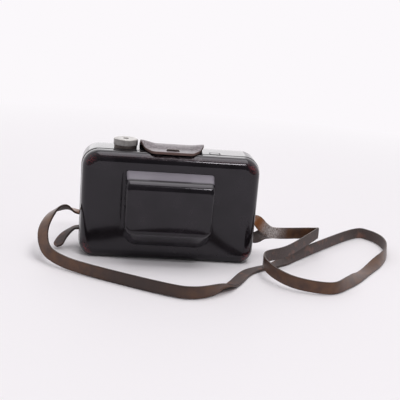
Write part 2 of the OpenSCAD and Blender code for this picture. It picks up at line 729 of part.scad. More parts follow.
module shutter_housing() carried() color("#2a2a2c") on_axis(board_y) {
    difference() {
        cylinder(r = housing_r, h = housing_l);
        translate([0, 0, skin]) cylinder(r = cavity_r, h = housing_l - 2 * skin);
        translate([0, 0, -1]) cylinder(r = glass_r + 0.2, h = skin + 2);
        translate([0, 0, skin + 0.5]) cylinder(r = aperture_r + 1, h = housing_l);
    }
    // Pivots of the two shutter blades stand on the back wall, those of the iris on the front wall
    for (i = [0:1]) rotate(i * 180) translate([pin_ring_r, 0, skin - eps])
        cylinder(r = pin_r, h = iris_z - skin - 0.3, $fn = 32);
    for (i = [0:4]) rotate(36 + i * 72) translate([pin_ring_r, 0, iris_z - 0.2])
        cylinder(r = pin_r, h = housing_l - skin - iris_z + 0.2 + eps, $fn = 32);
}

shutter_z = skin + 0.5;

// One blade of the shutter, closed, its pivot on +X
module shutter_blade() linear_extrude(blade_t) difference() {
    union() {
        intersection() {
            circle(r = aperture_r + 0.8);
            translate([-20, -0.5]) square([40, 20]);
        }
        polygon([[3, 6], [3, -0.5], [pin_ring_r, -1.2], [pin_ring_r + 1.2, 0], [pin_ring_r, 1.6]]);
    }
    translate([pin_ring_r, 0]) circle(r = blade_hole, $fn = 32);
}

module shutter_blade_a() carried() color("#1f1f21") on_axis(board_y) translate([0, 0, shutter_z])
    shutter_blade();
module shutter_blade_b() carried() color("#1f1f21") on_axis(board_y) translate([0, 0, shutter_z + 0.5])
    rotate(180) shutter_blade();

iris_z = shutter_z + 1.4;
iris_pitch = 0.45;
iris_sweep = 62;

// One blade of the iris, fully open, its pivot at angle 0
module iris_blade(i) carried() color("#1f1f21") on_axis(board_y)
    translate([0, 0, iris_z + i * iris_pitch]) rotate(36 + i * 72) linear_extrude(blade_t) difference() {
        union() {
            difference() {
                circle(r = pin_ring_r + 2);
                circle(r = pin_ring_r - 2.4);
                translate([-50, -100]) square([100, 100]);
                rotate(iris_sweep) translate([-50, 0]) square([100, 100]);
            }
            translate([pin_ring_r, 0]) circle(r = 1.8);
        }
        translate([pin_ring_r, 0]) circle(r = blade_hole, $fn = 32);
    }

module iris_blade_1() iris_blade(0);
module iris_blade_2() iris_blade(1);
module iris_blade_3() iris_blade(2);
module iris_blade_4() iris_blade(3);
module iris_blade_5() iris_blade(4);

// Ring on the lens axis with grip notches on its rim
module grip_ring(r_in, r_out, l, teeth) difference() {
    cylinder(r = r_out, h = l);
    translate([0, 0, -1]) cylinder(r = r_in, h = l + 2);
    for (i = [0:teeth - 1]) rotate(i * 360 / teeth) translate([r_out + 0.25, 0, l / 2])
        rotate(45) cube([0.9, 0.9, l - 0.8], center = true);
}

speed_l = 2.6;

module speed_ring() carried() color("#c3c2be") on_axis(board_y - housing_l + speed_l)
    grip_ring(housing_r + hair, housing_r + 1.3, speed_l, 24);

lever_l = 2;

module cocking_lever() carried() color("#8f8d88") on_axis(board_y - 1.2) linear_extrude(lever_l)
    difference() {
        union() {
            circle(r = housing_r + 1.1);
            rotate(118) translate([housing_r + 0.4, -1.6]) square([4.2, 3.2]);
        }
        circle(r = housing_r + hair);
    }

barrel_l = 7.6;
stop_l = 2.7;
focus_l = 4.3;

module lens_barrel() carried() color("#3a3a3c") on_axis(housing_y) difference() {
    cylinder(r = barrel_r, h = barrel_l);
    translate([0, 0, 2.2]) cylinder(r = cell_r + hair, h = barrel_l);
    translate([0, 0, -1]) cylinder(r = aperture_r + 2.2, h = barrel_l);
}

module aperture_ring() carried() color("#2e2e30") on_axis(housing_y - 0.2)
    grip_ring(barrel_r + hair, stop_ring_r, stop_l, 24);

module focus_ring() carried() color("#3a3a3c") on_axis(housing_y - 0.2 - stop_l - 0.2)
    grip_ring(barrel_r + hair, focus_ring_r, focus_l, 36);

cell_flange_r = 13.2;
skirt_l = focus_travel + 3.4;   // what still holds the cell when it is screwed right out

module front_cell() carried() color("#c3c2be") on_axis(housing_y) difference() {
    union() {
        translate([0, 0, barrel_l - skirt_l]) cylinder(r = cell_r, h = skirt_l + 0.2 + eps);
        translate([0, 0, barrel_l + 0.2]) cylinder(r1 = cell_flange_r, r2 = cell_flange_r - 0.8, h = 1.2);
    }
    translate([0, 0, -1]) cylinder(r = glass_r - 1, h = 20);
    translate([0, 0, 5]) cylinder(r = glass_r + hair, h = 20);
}

// Lens element along +Z, bulging by b0 at its foot and b1 at its top
module element(r, h, b0, b1) rotate_extrude() polygon(concat(
    [for (i = [0:8]) let (x = r * i / 8) [x, b0 * (x / r) * (x / r)]],
    [for (i = [8:-1:0]) let (x = r * i / 8) [x, h - b1 * (x / r) * (x / r)]]));

module front_element() carried() color([0.6, 0.7, 0.85, 0.4]) on_axis(housing_y - 5)
    element(glass_r, 3.4, 0.5, 1.3);
module middle_element() carried() color([0.6, 0.7, 0.85, 0.4]) on_axis(housing_y - 0.3)
    element(aperture_r + 2.2 - hair, 1.9, 0.5, 0.5);
module rear_element() carried() color([0.6, 0.7, 0.85, 0.4]) on_axis(cam_front - 0.2)
    element(glass_r, 3.6, 1.2, 0.6);

case_back();
lid();
tab_base();
tab_end();
tab_rivets();
lid_staple();
screw_washer();
retaining_screw();
strap();
camera_body();
body_covering();
base_plate();
base_screws();
tripod_socket();
back_door();
pressure_plate();
pressure_spring();
top_plate();
top_screws();
finder_window();
finder_eyepiece();
accessory_shoe();
release_button();
wind_knob();
take_up_spool();
sprocket_drum();
frame_counter();
rewind_knob();
rewind_fork();
lens_board();
board_screws();
shutter_housing();
shutter_blade_a();
shutter_blade_b();
iris_blade_1();
iris_blade_2();
iris_blade_3();
iris_blade_4();
iris_blade_5();
speed_ring();
cocking_lever();
aperture_ring();
lens_barrel();
focus_ring();
front_cell();
rear_element();
middle_element();
front_element();
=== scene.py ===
"""Compact film camera in its moulded leather case, upside down on a pale table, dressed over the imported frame."""
import json
import math

import bmesh
import bpy
from bpy.props import FloatProperty, FloatVectorProperty, IntProperty, PointerProperty
from mathutils import Color, Matrix, Vector, noise


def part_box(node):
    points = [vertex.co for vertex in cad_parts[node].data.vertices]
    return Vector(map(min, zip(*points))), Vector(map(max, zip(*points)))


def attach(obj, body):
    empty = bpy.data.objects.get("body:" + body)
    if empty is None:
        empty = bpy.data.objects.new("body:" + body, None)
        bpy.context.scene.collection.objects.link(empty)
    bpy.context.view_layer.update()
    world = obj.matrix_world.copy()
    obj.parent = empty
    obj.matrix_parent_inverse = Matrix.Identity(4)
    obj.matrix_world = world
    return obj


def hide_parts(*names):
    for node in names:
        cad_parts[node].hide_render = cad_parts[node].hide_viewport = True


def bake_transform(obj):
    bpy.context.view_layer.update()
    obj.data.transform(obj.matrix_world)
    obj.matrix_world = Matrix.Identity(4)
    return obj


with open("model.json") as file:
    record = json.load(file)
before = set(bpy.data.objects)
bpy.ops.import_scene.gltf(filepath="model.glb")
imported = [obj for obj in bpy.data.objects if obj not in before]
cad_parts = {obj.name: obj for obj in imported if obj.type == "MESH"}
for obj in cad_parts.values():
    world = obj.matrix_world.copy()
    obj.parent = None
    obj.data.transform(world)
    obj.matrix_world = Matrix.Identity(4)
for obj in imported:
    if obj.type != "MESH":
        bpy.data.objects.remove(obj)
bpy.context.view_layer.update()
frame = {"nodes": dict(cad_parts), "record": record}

bl_info = {
    "name": "Cased film camera",
    "version": (1, 0, 0),
    "blender": (4, 5, 0),
    "location": "View3D > Sidebar > Cased camera",
    "description": "Builds the leather case, strap, hinge tab and finishes of a cased film camera",
    "category": "Object",
}

MM = 0.001


# Colours and shader nodes

def linear(code):
    """The linear colour of an sRGB hex value such as '#1b1a1d'."""
    parts = [int(code[i:i + 2], 16) / 255 for i in (1, 3, 5)]
    return [c / 12.92 if c <= 0.04045 else ((c + 0.055) / 1.055) ** 2.4 for c in parts]


def put(tree, kind, inputs=None, out=0, **settings):
    """Adds a shader node of one kind, sets its properties, feeds its inputs and returns one of its outputs.

    An input takes another node's output, a value, an sRGB hex value or a colour property.
    """
    n = tree.nodes.new("ShaderNode" + kind)
    for key, value in settings.items():
        setattr(n, key, value)
    for key, value in (inputs or {}).items():
        if isinstance(value, bpy.types.NodeSocket):
            tree.links.new(value, n.inputs[key])
        elif isinstance(value, (str, Color)):
            colour = linear(value) if isinstance(value, str) else value
            n.inputs[key].default_value = (*colour, 1)
        else:
            n.inputs[key].default_value = value
    return n.outputs[out] if n.outputs else None


def new_material(name):
    """A material with an empty node tree, and the object coordinates in metres that its patterns read."""
    mat = bpy.data.materials.new(name)
    mat.use_nodes = True
    tree = mat.node_tree
    tree.nodes.clear()
    return mat, tree, put(tree, "TexCoord", out="Object")


# A Mix node names its inputs alike for each type, so colours go in by place: the share, the first and second colour
SHARE, FIRST, SECOND, MIXED = 0, 6, 7, 2


def layered(tree, tone, *layers):
    """Lays colours over a tone, one after the other, each by its own share."""
    for share, colour in layers:
        tone = put(tree, "Mix", {SHARE: share, FIRST: tone, SECOND: colour}, MIXED, data_type="RGBA")
    return tone


def patches(tree, name, pattern, low, high, least=0.0, most=1.0):
    """The share painted on the vertices under a name, broken up by the band of a pattern from low to high."""
    share = put(tree, "Attribute", out="Fac", attribute_name=name)
    broken = put(tree, "MapRange", {"Value": pattern, "From Min": low, "From Max": high,
                                    "To Min": least, "To Max": most})
    return put(tree, "Math", {0: share, 1: broken}, operation="MULTIPLY")


def surface(mat, tree, inputs, bumps=()):
    """Ends a material in a Principled shader, with a chain of bumps of (height, distance in metres, strength)."""
    relief = {}
    for height, distance, strength in bumps:
        relief = {"Normal": put(tree, "Bump", {"Height": height, "Distance": distance, "Strength": strength,
                                               **relief})}
    put(tree, "OutputMaterial", {"Surface": put(tree, "BsdfPrincipled", {**inputs, **relief})})
    return mat


# Materials
#
# The scale of each pattern is one over the size of its lumps. Pores, fibres and fine scratches are 0.1 to 0.3 mm on
# the real case, and are drawn at 0.5 to 0.8 mm, as coarse as they need to be to show.

def moulded_leather(colour):
    """Hard moulded cowhide, dyed black and varnished: a hard gloss over slow hollows, worn brown at the edges."""
    mat, tree, where = new_material("moulded_leather")
    hollows = put(tree, "TexNoise", {"Vector": where, "Scale": 1 / (16 * MM)})
    pores = put(tree, "TexVoronoi", {"Vector": where, "Scale": 1 / (0.8 * MM)})
    scuffs = put(tree, "TexNoise", {"Vector": where, "Scale": 1 / (1.3 * MM), "Detail": 7.0, "Roughness": 0.72})
    along = put(tree, "Mapping", {"Vector": where, "Scale": (0.3, 1, 1)})
    streaks = put(tree, "TexNoise", {"Vector": along, "Scale": 1 / (1.0 * MM), "Detail": 7.0, "Roughness": 0.7})
    speckle = put(tree, "TexNoise", {"Vector": where, "Scale": 1 / (6 * MM), "Detail": 5.0, "Roughness": 0.6})
    polish = put(tree, "TexNoise", {"Vector": where, "Scale": 1 / (4 * MM), "Detail": 5.0})
    worn = patches(tree, "wear", scuffs, 0.47, 0.56)
    rubbed_off = patches(tree, "rubbed", streaks, 0.46, 0.58)
    # Painted reflection: the nose's ledge, and a trace of its lower slope, are made paler and duller to stand for the
    # bright surroundings they mirror
    painted_patch = patches(tree, "painted_reflection", speckle, 0.2, 0.8, 0.9, 1.05)
    # Painted shade: the grooves of the seam and of the pressed mark are made near black and dull
    seam = put(tree, "Attribute", out="Fac", attribute_name="seam")
    tone = layered(
        tree, colour, (put(tree, "MapRange", {"Value": hollows, "From Min": 0.35, "From Max": 0.7}), "#1f1c20"),
        (worn, "#7a3236"), (rubbed_off, "#62585a"), (painted_patch, "#827d85"), (seam, "#070607"))
    rough = put(tree, "MapRange", {"Value": polish, "From Min": 0.3, "From Max": 0.75,
                                   "To Min": 0.12, "To Max": 0.17})
    for share, gain in ((worn, 0.25), (rubbed_off, 0.12), (painted_patch, 0.35), (seam, 0.7)):
        more = put(tree, "Math", {0: share, 1: gain}, operation="MULTIPLY")
        rough = put(tree, "Math", {0: rough, 1: more}, operation="ADD")
    return surface(mat, tree, {
        "Base Color": tone, "Roughness": rough, "IOR": 1.36, "Specular Tint": "#fbf3ff",
        "Coat Weight": 0.3, "Coat Roughness": 0.09,
    }, [(hollows, 0.4 * MM, 0.06), (pores, 0.01 * MM, 0.08), (worn, 0.04 * MM, 0.4), (rubbed_off, 0.03 * MM, 0.3)])


def raw_leather(name, low, high, rough=0.75):
    """The flesh side or a cut edge of leather: matt, fibrous and browner than the dyed face."""
    mat, tree, where = new_material(name)
    fibre = put(tree, "TexNoise", {"Vector": where, "Scale": 1 / (0.6 * MM), "Detail": 8.0, "Roughness": 0.75})
    pale = put(tree, "MapRange", {"Value": fibre, "From Min": 0.35, "From Max": 0.65})
    return surface(mat, tree, {
        "Base Color": layered(tree, low, (pale, high)), "Roughness": rough, "Specular IOR Level": 0.3,
    }, [(fibre, 0.25 * MM, 0.7)])


def tab_leather():
    """Thick bridle leather, dyed dark brown and handled for years: a soft sheen, fine creases and a film of pale dust.
    """
    mat, tree, where = new_material("tab_leather")
    creases = put(tree, "TexNoise", {"Vector": where, "Scale": 1 / (9 * MM), "Detail": 3.0})
    pores = put(tree, "TexVoronoi", {"Vector": where, "Scale": 1 / (0.8 * MM)})
    speckle = put(tree, "TexNoise", {"Vector": where, "Scale": 1 / (1.4 * MM), "Detail": 9.0, "Roughness": 0.75})
    pale = put(tree, "MapRange", {"Value": creases, "From Min": 0.3, "From Max": 0.7})
    dusty = put(tree, "MapRange", {"Value": speckle, "From Min": 0.46, "From Max": 0.58, "To Max": 0.65})
    sheen = put(tree, "MapRange", {"Value": speckle, "From Min": 0.3, "From Max": 0.7, "To Min": 0.36, "To Max": 0.55})
    return surface(mat, tree, {
        "Base Color": layered(tree, "#3f363a", (pale, "#5c5156"), (dusty, "#9c9195")),
        "Roughness": sheen, "Coat Weight": 0.3, "Coat Roughness": 0.3,
    }, [(creases, 0.6 * MM, 0.3), (pores, 0.08 * MM, 0.4), (speckle, 0.06 * MM, 0.4)])


def strap_leather(colour, flesh):
    """Long cowhide strap: brown and polished on its outer face, grey and fibrous inside, dark along its edges."""
    mat, tree, where = new_material("strap_leather")
    slow = put(tree, "TexNoise", {"Vector": where, "Scale": 1 / (7 * MM), "Detail": 4.0})
    fibre = put(tree, "TexNoise", {"Vector": where, "Scale": 1 / (0.7 * MM), "Detail": 8.0, "Roughness": 0.7})
    flakes = put(tree, "TexNoise", {"Vector": where, "Scale": 1 / (1.0 * MM), "Detail": 9.0, "Roughness": 0.8})
    side, across, warm, painted_patch = (put(tree, "Attribute", out="Fac", attribute_name=name)
                                for name in ("outer", "across", "warm", "painted_patch"))
    outer = {"Value": side, "From Min": 0.35, "From Max": 0.65}
    brown = layered(
        tree, colour, (put(tree, "MapRange", {"Value": slow, "From Min": 0.3, "From Max": 0.7}), "#664733"),
        (put(tree, "Math", {0: painted_patch, 1: 0.85}, operation="MULTIPLY"), "#372c2a"), (warm, "#9a5d2c"))
    grey = layered(
        tree, flesh, (put(tree, "MapRange", {"Value": fibre, "From Min": 0.35, "From Max": 0.65}), "#5f5350"),
        (put(tree, "MapRange", {"Value": slow, "From Min": 0.52, "From Max": 0.7, "To Max": 0.6}), "#8a6456"))
    tone = layered(
        tree, grey, (put(tree, "MapRange", outer), brown),
        (put(tree, "MapRange", {"Value": across, "From Min": 0.8, "From Max": 1.0, "To Max": 0.6}), "#2a211f"),
        (patches(tree, "flaked", flakes, 0.38, 0.54), "#cfc6c4"))
    return surface(mat, tree, {
        "Base Color": tone, "Specular IOR Level": 0.35,
        "Roughness": put(tree, "MapRange", {**outer, "To Min": 0.62, "To Max": 0.34}),
    }, [(slow, 0.4 * MM, 0.25), (fibre, 0.06 * MM, 0.4)])


def metal(name, colour, worn, rough, streak=None):
    """A bare or plated metal; streak stretches its fine scratches along one axis, as a lathe or a brush leaves them."""
    mat, tree, where = new_material(name)
    lines = put(tree, "Mapping", {"Vector": where, "Scale": streak}) if streak else where
    fine = put(tree, "TexNoise", {"Vector": lines, "Scale": 1 / (0.5 * MM), "Detail": 5.0, "Roughness": 0.6})
    slow = put(tree, "TexNoise", {"Vector": where, "Scale": 1 / (6 * MM), "Detail": 3.0})
    clouded = put(tree, "MapRange", {"Value": slow, "From Min": 0.3, "From Max": 0.75})
    return surface(mat, tree, {
        "Base Color": layered(tree, colour, (clouded, worn)), "Metallic": 1.0,
        "Roughness": put(tree, "MapRange", {"Value": fine, "From Min": 0.3, "From Max": 0.7,
                                            "To Min": rough - 0.06, "To Max": rough + 0.1}),
    }, [(fine, 0.03 * MM, 0.35)])


def lacquer(name, colour, second, rough, lump, depth):
    """Paint, lacquer or a stuck-on covering: an even colour over a real texture of lumps."""
    mat, tree, where = new_material(name)
    lumps = put(tree, "TexVoronoi", {"Vector": where, "Scale": 1 / lump})
    slow = put(tree, "TexNoise", {"Vector": where, "Scale": 1 / (8 * MM), "Detail": 3.0})
    haze = put(tree, "TexNoise", {"Vector": where, "Scale": 1 / (2 * MM), "Detail": 4.0})
    clouded = put(tree, "MapRange", {"Value": slow, "From Min": 0.3, "From Max": 0.7})
    return surface(mat, tree, {
        "Base Color": layered(tree, colour, (clouded, second)),
        "Roughness": put(tree, "MapRange", {"Value": haze, "From Min": 0.3, "From Max": 0.7,
                                            "To Min": rough, "To Max": rough + 0.12}),
    }, [(lumps, depth, 0.6)])


def glass(name, tint):
    """Coated optical glass: clear, with a faint tint and a very smooth face that fine dust breaks up."""
    mat, tree, where = new_material(name)
    speckle = put(tree, "TexNoise", {"Vector": where, "Scale": 1 / (0.4 * MM), "Detail": 6.0})
    return surface(mat, tree, {
        "Base Color": tint, "Transmission Weight": 0.9, "IOR": 1.52,
        "Roughness": put(tree, "MapRange", {"Value": speckle, "From Min": 0.55, "From Max": 0.8,
                                            "To Min": 0.02, "To Max": 0.12}),
    })


# Mesh helpers

def finished(name, bm, materials, body=None, stands_for=(), sharp=math.radians(35)):
    """Turns a bmesh into a smooth-shaded object, gives it its materials and its body, and hides the CAD nodes it stands
    for.
    """
    mesh = bpy.data.meshes.new(name)
    bm.to_mesh(mesh)
    bm.free()
    for m in materials:
        mesh.materials.append(m)
    mesh.shade_smooth()
    mesh.set_sharp_from_angle(angle=sharp)
    piece = bpy.data.objects.new(name, mesh)
    bpy.context.collection.objects.link(piece)
    if body:
        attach(piece, body)
    if stands_for:
        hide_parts(*stands_for)
    return piece


def softened(piece, width):
    """Takes the sharpness off the edges of a piece."""
    soft = piece.modifiers.new("soft_edges", "BEVEL")
    soft.width, soft.segments, soft.limit_method, soft.angle_limit = width, 2, "ANGLE", math.radians(50)


def paint(mesh, name, rule):
    """Stores rule(point) of each vertex as a value that materials can read."""
    layer = mesh.attributes.new(name, "FLOAT", "POINT")
    layer.data.foreach_set("value", [rule(v.co) for v in mesh.vertices])


def ease(t):
    """Smooth step from 0 to 1."""
    t = max(0.0, min(1.0, t))
    return t * t * (3 - 2 * t)


def drawn_in(distance, radius):
    """How far an edge with a rounded corner draws in, at a distance from the corner's end."""
    t = 1 - min(1.0, max(0.0, distance) / radius)
    return radius * (1 - math.sqrt(1 - t * t))


def round_edges(bm, edges, radius, segments):
    """Rounds edges to a radius."""
    bmesh.ops.bevel(bm, geom=edges, offset=radius, offset_type="OFFSET", affect="EDGES", segments=segments,
                    profile=0.5, material=-1)


def cut(bm, point, normal, drop_front=False, drop_back=False):
    """Cuts a whole mesh with a plane."""
    geom = bm.verts[:] + bm.edges[:] + bm.faces[:]
    bmesh.ops.bisect_plane(bm, geom=geom, dist=1e-7, plane_co=point, plane_no=normal,
                           clear_outer=drop_front, clear_inner=drop_back)


def grid_cuts(bm, axis, places):
    """Adds a loop of edges at each place along an axis, for a surface to sag, take paint or be opened there."""
    for place in places:
        point = [0, 0, 0]
        point[axis] = place
        cut(bm, point, Vector([float(i == axis) for i in range(3)]))


def at(value, target, slack=1e-5):
    """Whether two lengths agree."""
    return abs(value - target) < slack


def rounded_block(s, inset=0.0):
    """The moulded block of the case, drawn in by inset on every side."""
    thin = s.corner_thinning if inset else 0.0
    half, low, high = s.case_width / 2 - inset, inset, s.case_height - inset
    front, back = -s.case_depth / 2 + inset, s.case_depth / 2 - inset
    bm = bmesh.new()
    bmesh.ops.create_cube(bm, size=1)
    bmesh.ops.scale(bm, vec=(2 * half, back - front, high - low), verts=bm.verts)
    bmesh.ops.translate(bm, vec=(0, (front + back) / 2, (low + high) / 2), verts=bm.verts)
    for level, radius in ((high, s.upper_corner), (low, s.lower_corner)):
        edges = [e for e in bm.edges if all(at(v.co.z, level) for v in e.verts)
                 and at(e.verts[0].co.x, e.verts[1].co.x)]
        round_edges(bm, edges, radius - inset - thin, 10)
    for level, radius in ((front, s.front_round), (back, s.back_round)):
        edges = [e for e in bm.edges if all(at(v.co.y, level) for v in e.verts)]
        round_edges(bm, edges, max(radius - inset, 0.8 * MM), 8)
    return bm


def nose_outline(bm, x, y, half, low, high, low_round, high_round):
    """A face across the depth y, in the shape of a rectangle about x with rounded lower and upper corners."""
    verts = bmesh.ops.create_grid(bm, x_segments=1, y_segments=1, size=0.5)["verts"]
    bmesh.ops.rotate(bm, cent=(0, 0, 0), matrix=Matrix.Rotation(math.pi / 2, 3, "X"), verts=verts)
    bmesh.ops.scale(bm, vec=(2 * half, 1, high - low), verts=verts)
    bmesh.ops.translate(bm, vec=(x, y, (low + high) / 2), verts=verts)
    face = verts[0].link_faces[0]
    for level, radius in ((high, high_round), (low, low_round)):
        corners = [v for v in face.verts if at(v.co.z, level)]
        bmesh.ops.bevel(bm, geom=corners, offset=radius, offset_type="OFFSET", affect="VERTICES", segments=8,
                        profile=0.5, material=-1)
        face = next(f for f in bm.faces if all(at(v.co.y, y) for v in f.verts))
    return face


# Roundings of the nose: its front edges, its foot, its upper corners, and its lower corners at the base and the tip
NOSE_RIM, NOSE_FOOT, NOSE_UPPER = 2 * MM, 1.0 * MM, 2.6 * MM
NOSE_LOWER_BASE, NOSE_LOWER_TIP = 10.5 * MM, 6 * MM
# How far the flat outline on the lid's front stands off the foot of the nose
NOSE_APRON = 1.6 * MM


def ledge(s):
    """The nose's upper ledge: where it meets the round, and its slope, from the base to a tangent of the round."""
    base, r = -s.case_depth / 2, s.nose_round
    y, z = base - s.nose_depth + r, s.nose_front_top - r
    reach, fall = base - y, s.nose_base_top - z
    slope = math.atan2(fall, reach) - math.asin(r / math.hypot(reach, fall))
    return y - r * math.sin(slope), z + r * math.cos(slope), slope


def nose_sections(s):
    """Outlines of the nose from its base to its tip: depth, half width, low and top edge, lower corner radius."""
    base, tip, r = -s.case_depth / 2, -s.case_depth / 2 - s.nose_depth, s.nose_round
    end_y, end_z, slope = ledge(s)
    tops = [(base + (end_y - base) * t, s.nose_base_top + (end_z - s.nose_base_top) * t)
            for t in (0, 0.14, 0.45, 0.8, 0.95)]
    steps = 10
    for k in range(steps + 1):
        a = slope + (math.pi / 2 - slope) * k / steps
        tops.append((tip + r - r * math.sin(a), s.nose_front_top - r + r * math.cos(a)))
    rows = []
    for y, top in tops:
        share, off = (base - y) / s.nose_depth, drawn_in(y - tip, NOSE_RIM)
        half = s.nose_base_half + (s.nose_front_half - s.nose_base_half) * share
        low = s.nose_base_low + (s.nose_front_low - s.nose_base_low) * share
        corner = NOSE_LOWER_BASE + (NOSE_LOWER_TIP - NOSE_LOWER_BASE) * share
        rows.append((y, half - off, low + off, top, corner - off))
    return rows


def lid_surface(s, inset=0.0):
    """The lid's block with the nose standing out of its front, as one open surface cut at the seam."""
    bm = rounded_block(s, inset)
    front = -s.case_depth / 2 + inset
    flat = max((f for f in bm.faces if all(at(v.co.y, front) for v in f.verts)), key=lambda f: f.calc_area())
    loops = [list(flat.edges)]
    bmesh.ops.delete(bm, geom=[flat], context="FACES_ONLY")
    rows = nose_sections(s)
    # The first outline lies flat on the front, a little outside the foot of the nose
    rows.insert(0, rows[0])
    for i, (y, half, low, top, corner) in enumerate(rows):
        off = inset if i else inset - NOSE_APRON
        face = nose_outline(bm, s.nose_x, y + inset, half - off, low + off, top - off, corner - off, NOSE_UPPER - off)
        loops.append(list(face.edges))
        if i < len(rows) - 1:
            bmesh.ops.delete(bm, geom=[face], context="FACES_ONLY")
    bmesh.ops.triangle_fill(bm, use_beauty=True, use_dissolve=False, edges=loops[0] + loops[1], normal=(0, -1, 0))
    for a, b in zip(loops[1:], loops[2:]):
        bmesh.ops.bridge_loops(bm, edges=a + b)
    round_edges(bm, loops[2], NOSE_FOOT, 3)
    seam = -s.case_depth / 2 + s.lid_depth
    cut(bm, (0, seam - s.seam_gap / 2, 0), (0, 1, 0), drop_front=True)
    bmesh.ops.recalc_face_normals(bm, faces=bm.faces)
    return bm


def sagged(bm, amount, scale, seed):
    """Moves the points of a moulded surface in and out a little, as leather dries over its form."""
    bm.normal_update()
    for v in bm.verts:
        v.co += v.normal * amount * noise.noise(v.co / scale + Vector((seed, 0, 0)))


def moulded(bm, s):
    """Gives the straight block the form of its mould: it narrows downwards, and the lid's top falls to the front."""
    seam = -s.case_depth / 2 + s.lid_depth
    for v in bm.verts:
        forward = min(1.0, max(0.0, (seam - v.co.y) / s.lid_depth))
        fall = s.brow * max(0.0, forward - 0.35) / 0.65
        v.co.z -= fall * ease((v.co.z - s.case_height + 15 * MM) / (12 * MM))
        v.co.x -= s.draft * forward * ease((abs(v.co.x) - 40 * MM) / (18 * MM)) * math.copysign(1, v.co.x)
        v.co.x *= 1 - s.narrowing * (1 - v.co.z / s.case_height)


def moat(bm, s):
    """Presses the front in beside the nose, most of all at the nose's left, as the leather sank over the mould."""
    front = -s.case_depth / 2
    for v in bm.verts:
        away = abs(v.co.x - s.nose_x) - s.nose_base_half
        # How far the hollow reaches from the nose, to its left and right, and how deep it is by its reach
        reach, depth = 4.5 * MM if v.co.x < 0 else 2.5 * MM, 0.14
        if abs(v.co.y - front) < 0.3 * MM and 0 <= away < reach:
            height = ease((v.co.z - s.nose_base_low - 6 * MM) / (16 * MM))
            height *= ease((s.nose_base_top - v.co.z) / (5 * MM))
            v.co.y += depth * reach * height * (1 - away / reach) ** 2


# How much of a full round the rims are rolled in at the seam
ROLL = 0.75


def rolled_rim(bm, s, side):
    """Rolls the rim of one half of the case in at the seam, so that the seam is a groove."""
    seam = -s.case_depth / 2 + s.lid_depth + side * s.seam_gap / 2
    for step in (0.1, 0.25, 0.45, 0.7, 1.0):
        cut(bm, (0, seam + side * step * s.rim_round, 0), (0, 1, 0))
    bm.normal_update()
    for v in bm.verts:
        v.co -= v.normal * ROLL * drawn_in(abs(v.co.y - seam), s.rim_round)


# What is painted on the vertices of the case: each function gives a rule from a point to a share

def painted_reflection(s):
    """Painted reflection: a pale, dull patch on the ledge of the nose, and a trace of it on the nose's lower slope,
    standing for the bright surroundings they mirror.
    """
    end_y, _, slope = ledge(s)
    base, trace = -s.case_depth / 2, 0.12

    def rule(p):
        top = s.nose_base_top - (base - p.y) * math.tan(slope)
        on = ease((base - 0.15 * MM - p.y) / (0.7 * MM)) * (p.y > end_y + 0.8 * MM)
        upper = on * ease((p.z - top + 1.6 * MM) / (1.0 * MM))
        on = ease((base - 0.5 * MM - p.y) / (2 * MM)) * (p.y > base - 17 * MM)
        lower = on * ease((30 * MM - p.z) / (4 * MM))
        return max(upper, trace * lower)
    return rule


def rubbed(s):
    """The rubbed streak along the lid's upper front edge."""
    y, z, reach = -s.case_depth / 2 + 2.3 * MM, s.case_height - s.brow - 1.3 * MM, 1.7 * MM

    def rule(p):
        along = ease((p.x + 24 * MM) / (12 * MM)) * (1 - 0.85 * ease((p.x - 14 * MM) / (14 * MM)))
        along *= ease((58 * MM - p.x) / (8 * MM))
        return along * ease(1.2 - math.hypot(p.y - y, p.z - z) / reach)
    return rule


def painted_seam_shade(s):
    """Painted shade in the groove of the seam: dark and dull, wider at the sides."""
    seam = -s.case_depth / 2 + s.lid_depth

    def rule(p):
        reach = (1.1 + 0.8 * ease((abs(p.x) - 50 * MM) / (8 * MM))) * MM
        return ease(1.7 - abs(p.y - seam) / reach)
    return rule


def case_wear(s):
    """Wear of the lid and case down to the brown leather: the front corners most of all."""
    front, half, mid = -s.case_depth / 2, s.case_width / 2, s.case_height / 2
    inward = 4.4 * MM

    def rule(p):
        near_front = ease(1 - abs(p.y - front - 1.4 * MM) / (3.0 * MM))
        corner = ease(1.1 - math.hypot(abs(p.x) - half + inward, abs(p.z - mid) - mid + inward) / (7 * MM))
        rim = max(ease((abs(p.x) - half + 4 * MM) / (3 * MM)), ease((p.z - s.case_height + 5 * MM) / (3 * MM)))
        return near_front * max(corner, 0.15 * rim)
    return rule


# Sizes and colours that a user may change

def length(name, description, default):
    return FloatProperty(name=name, description=description, default=default, unit="LENGTH", subtype="DISTANCE",
                         precision=5, min=0.0)


def colour(name, description, code):
    return FloatVectorProperty(name=name, description=description, default=linear(code), subtype="COLOR", size=3,
                               min=0.0, max=1.0)


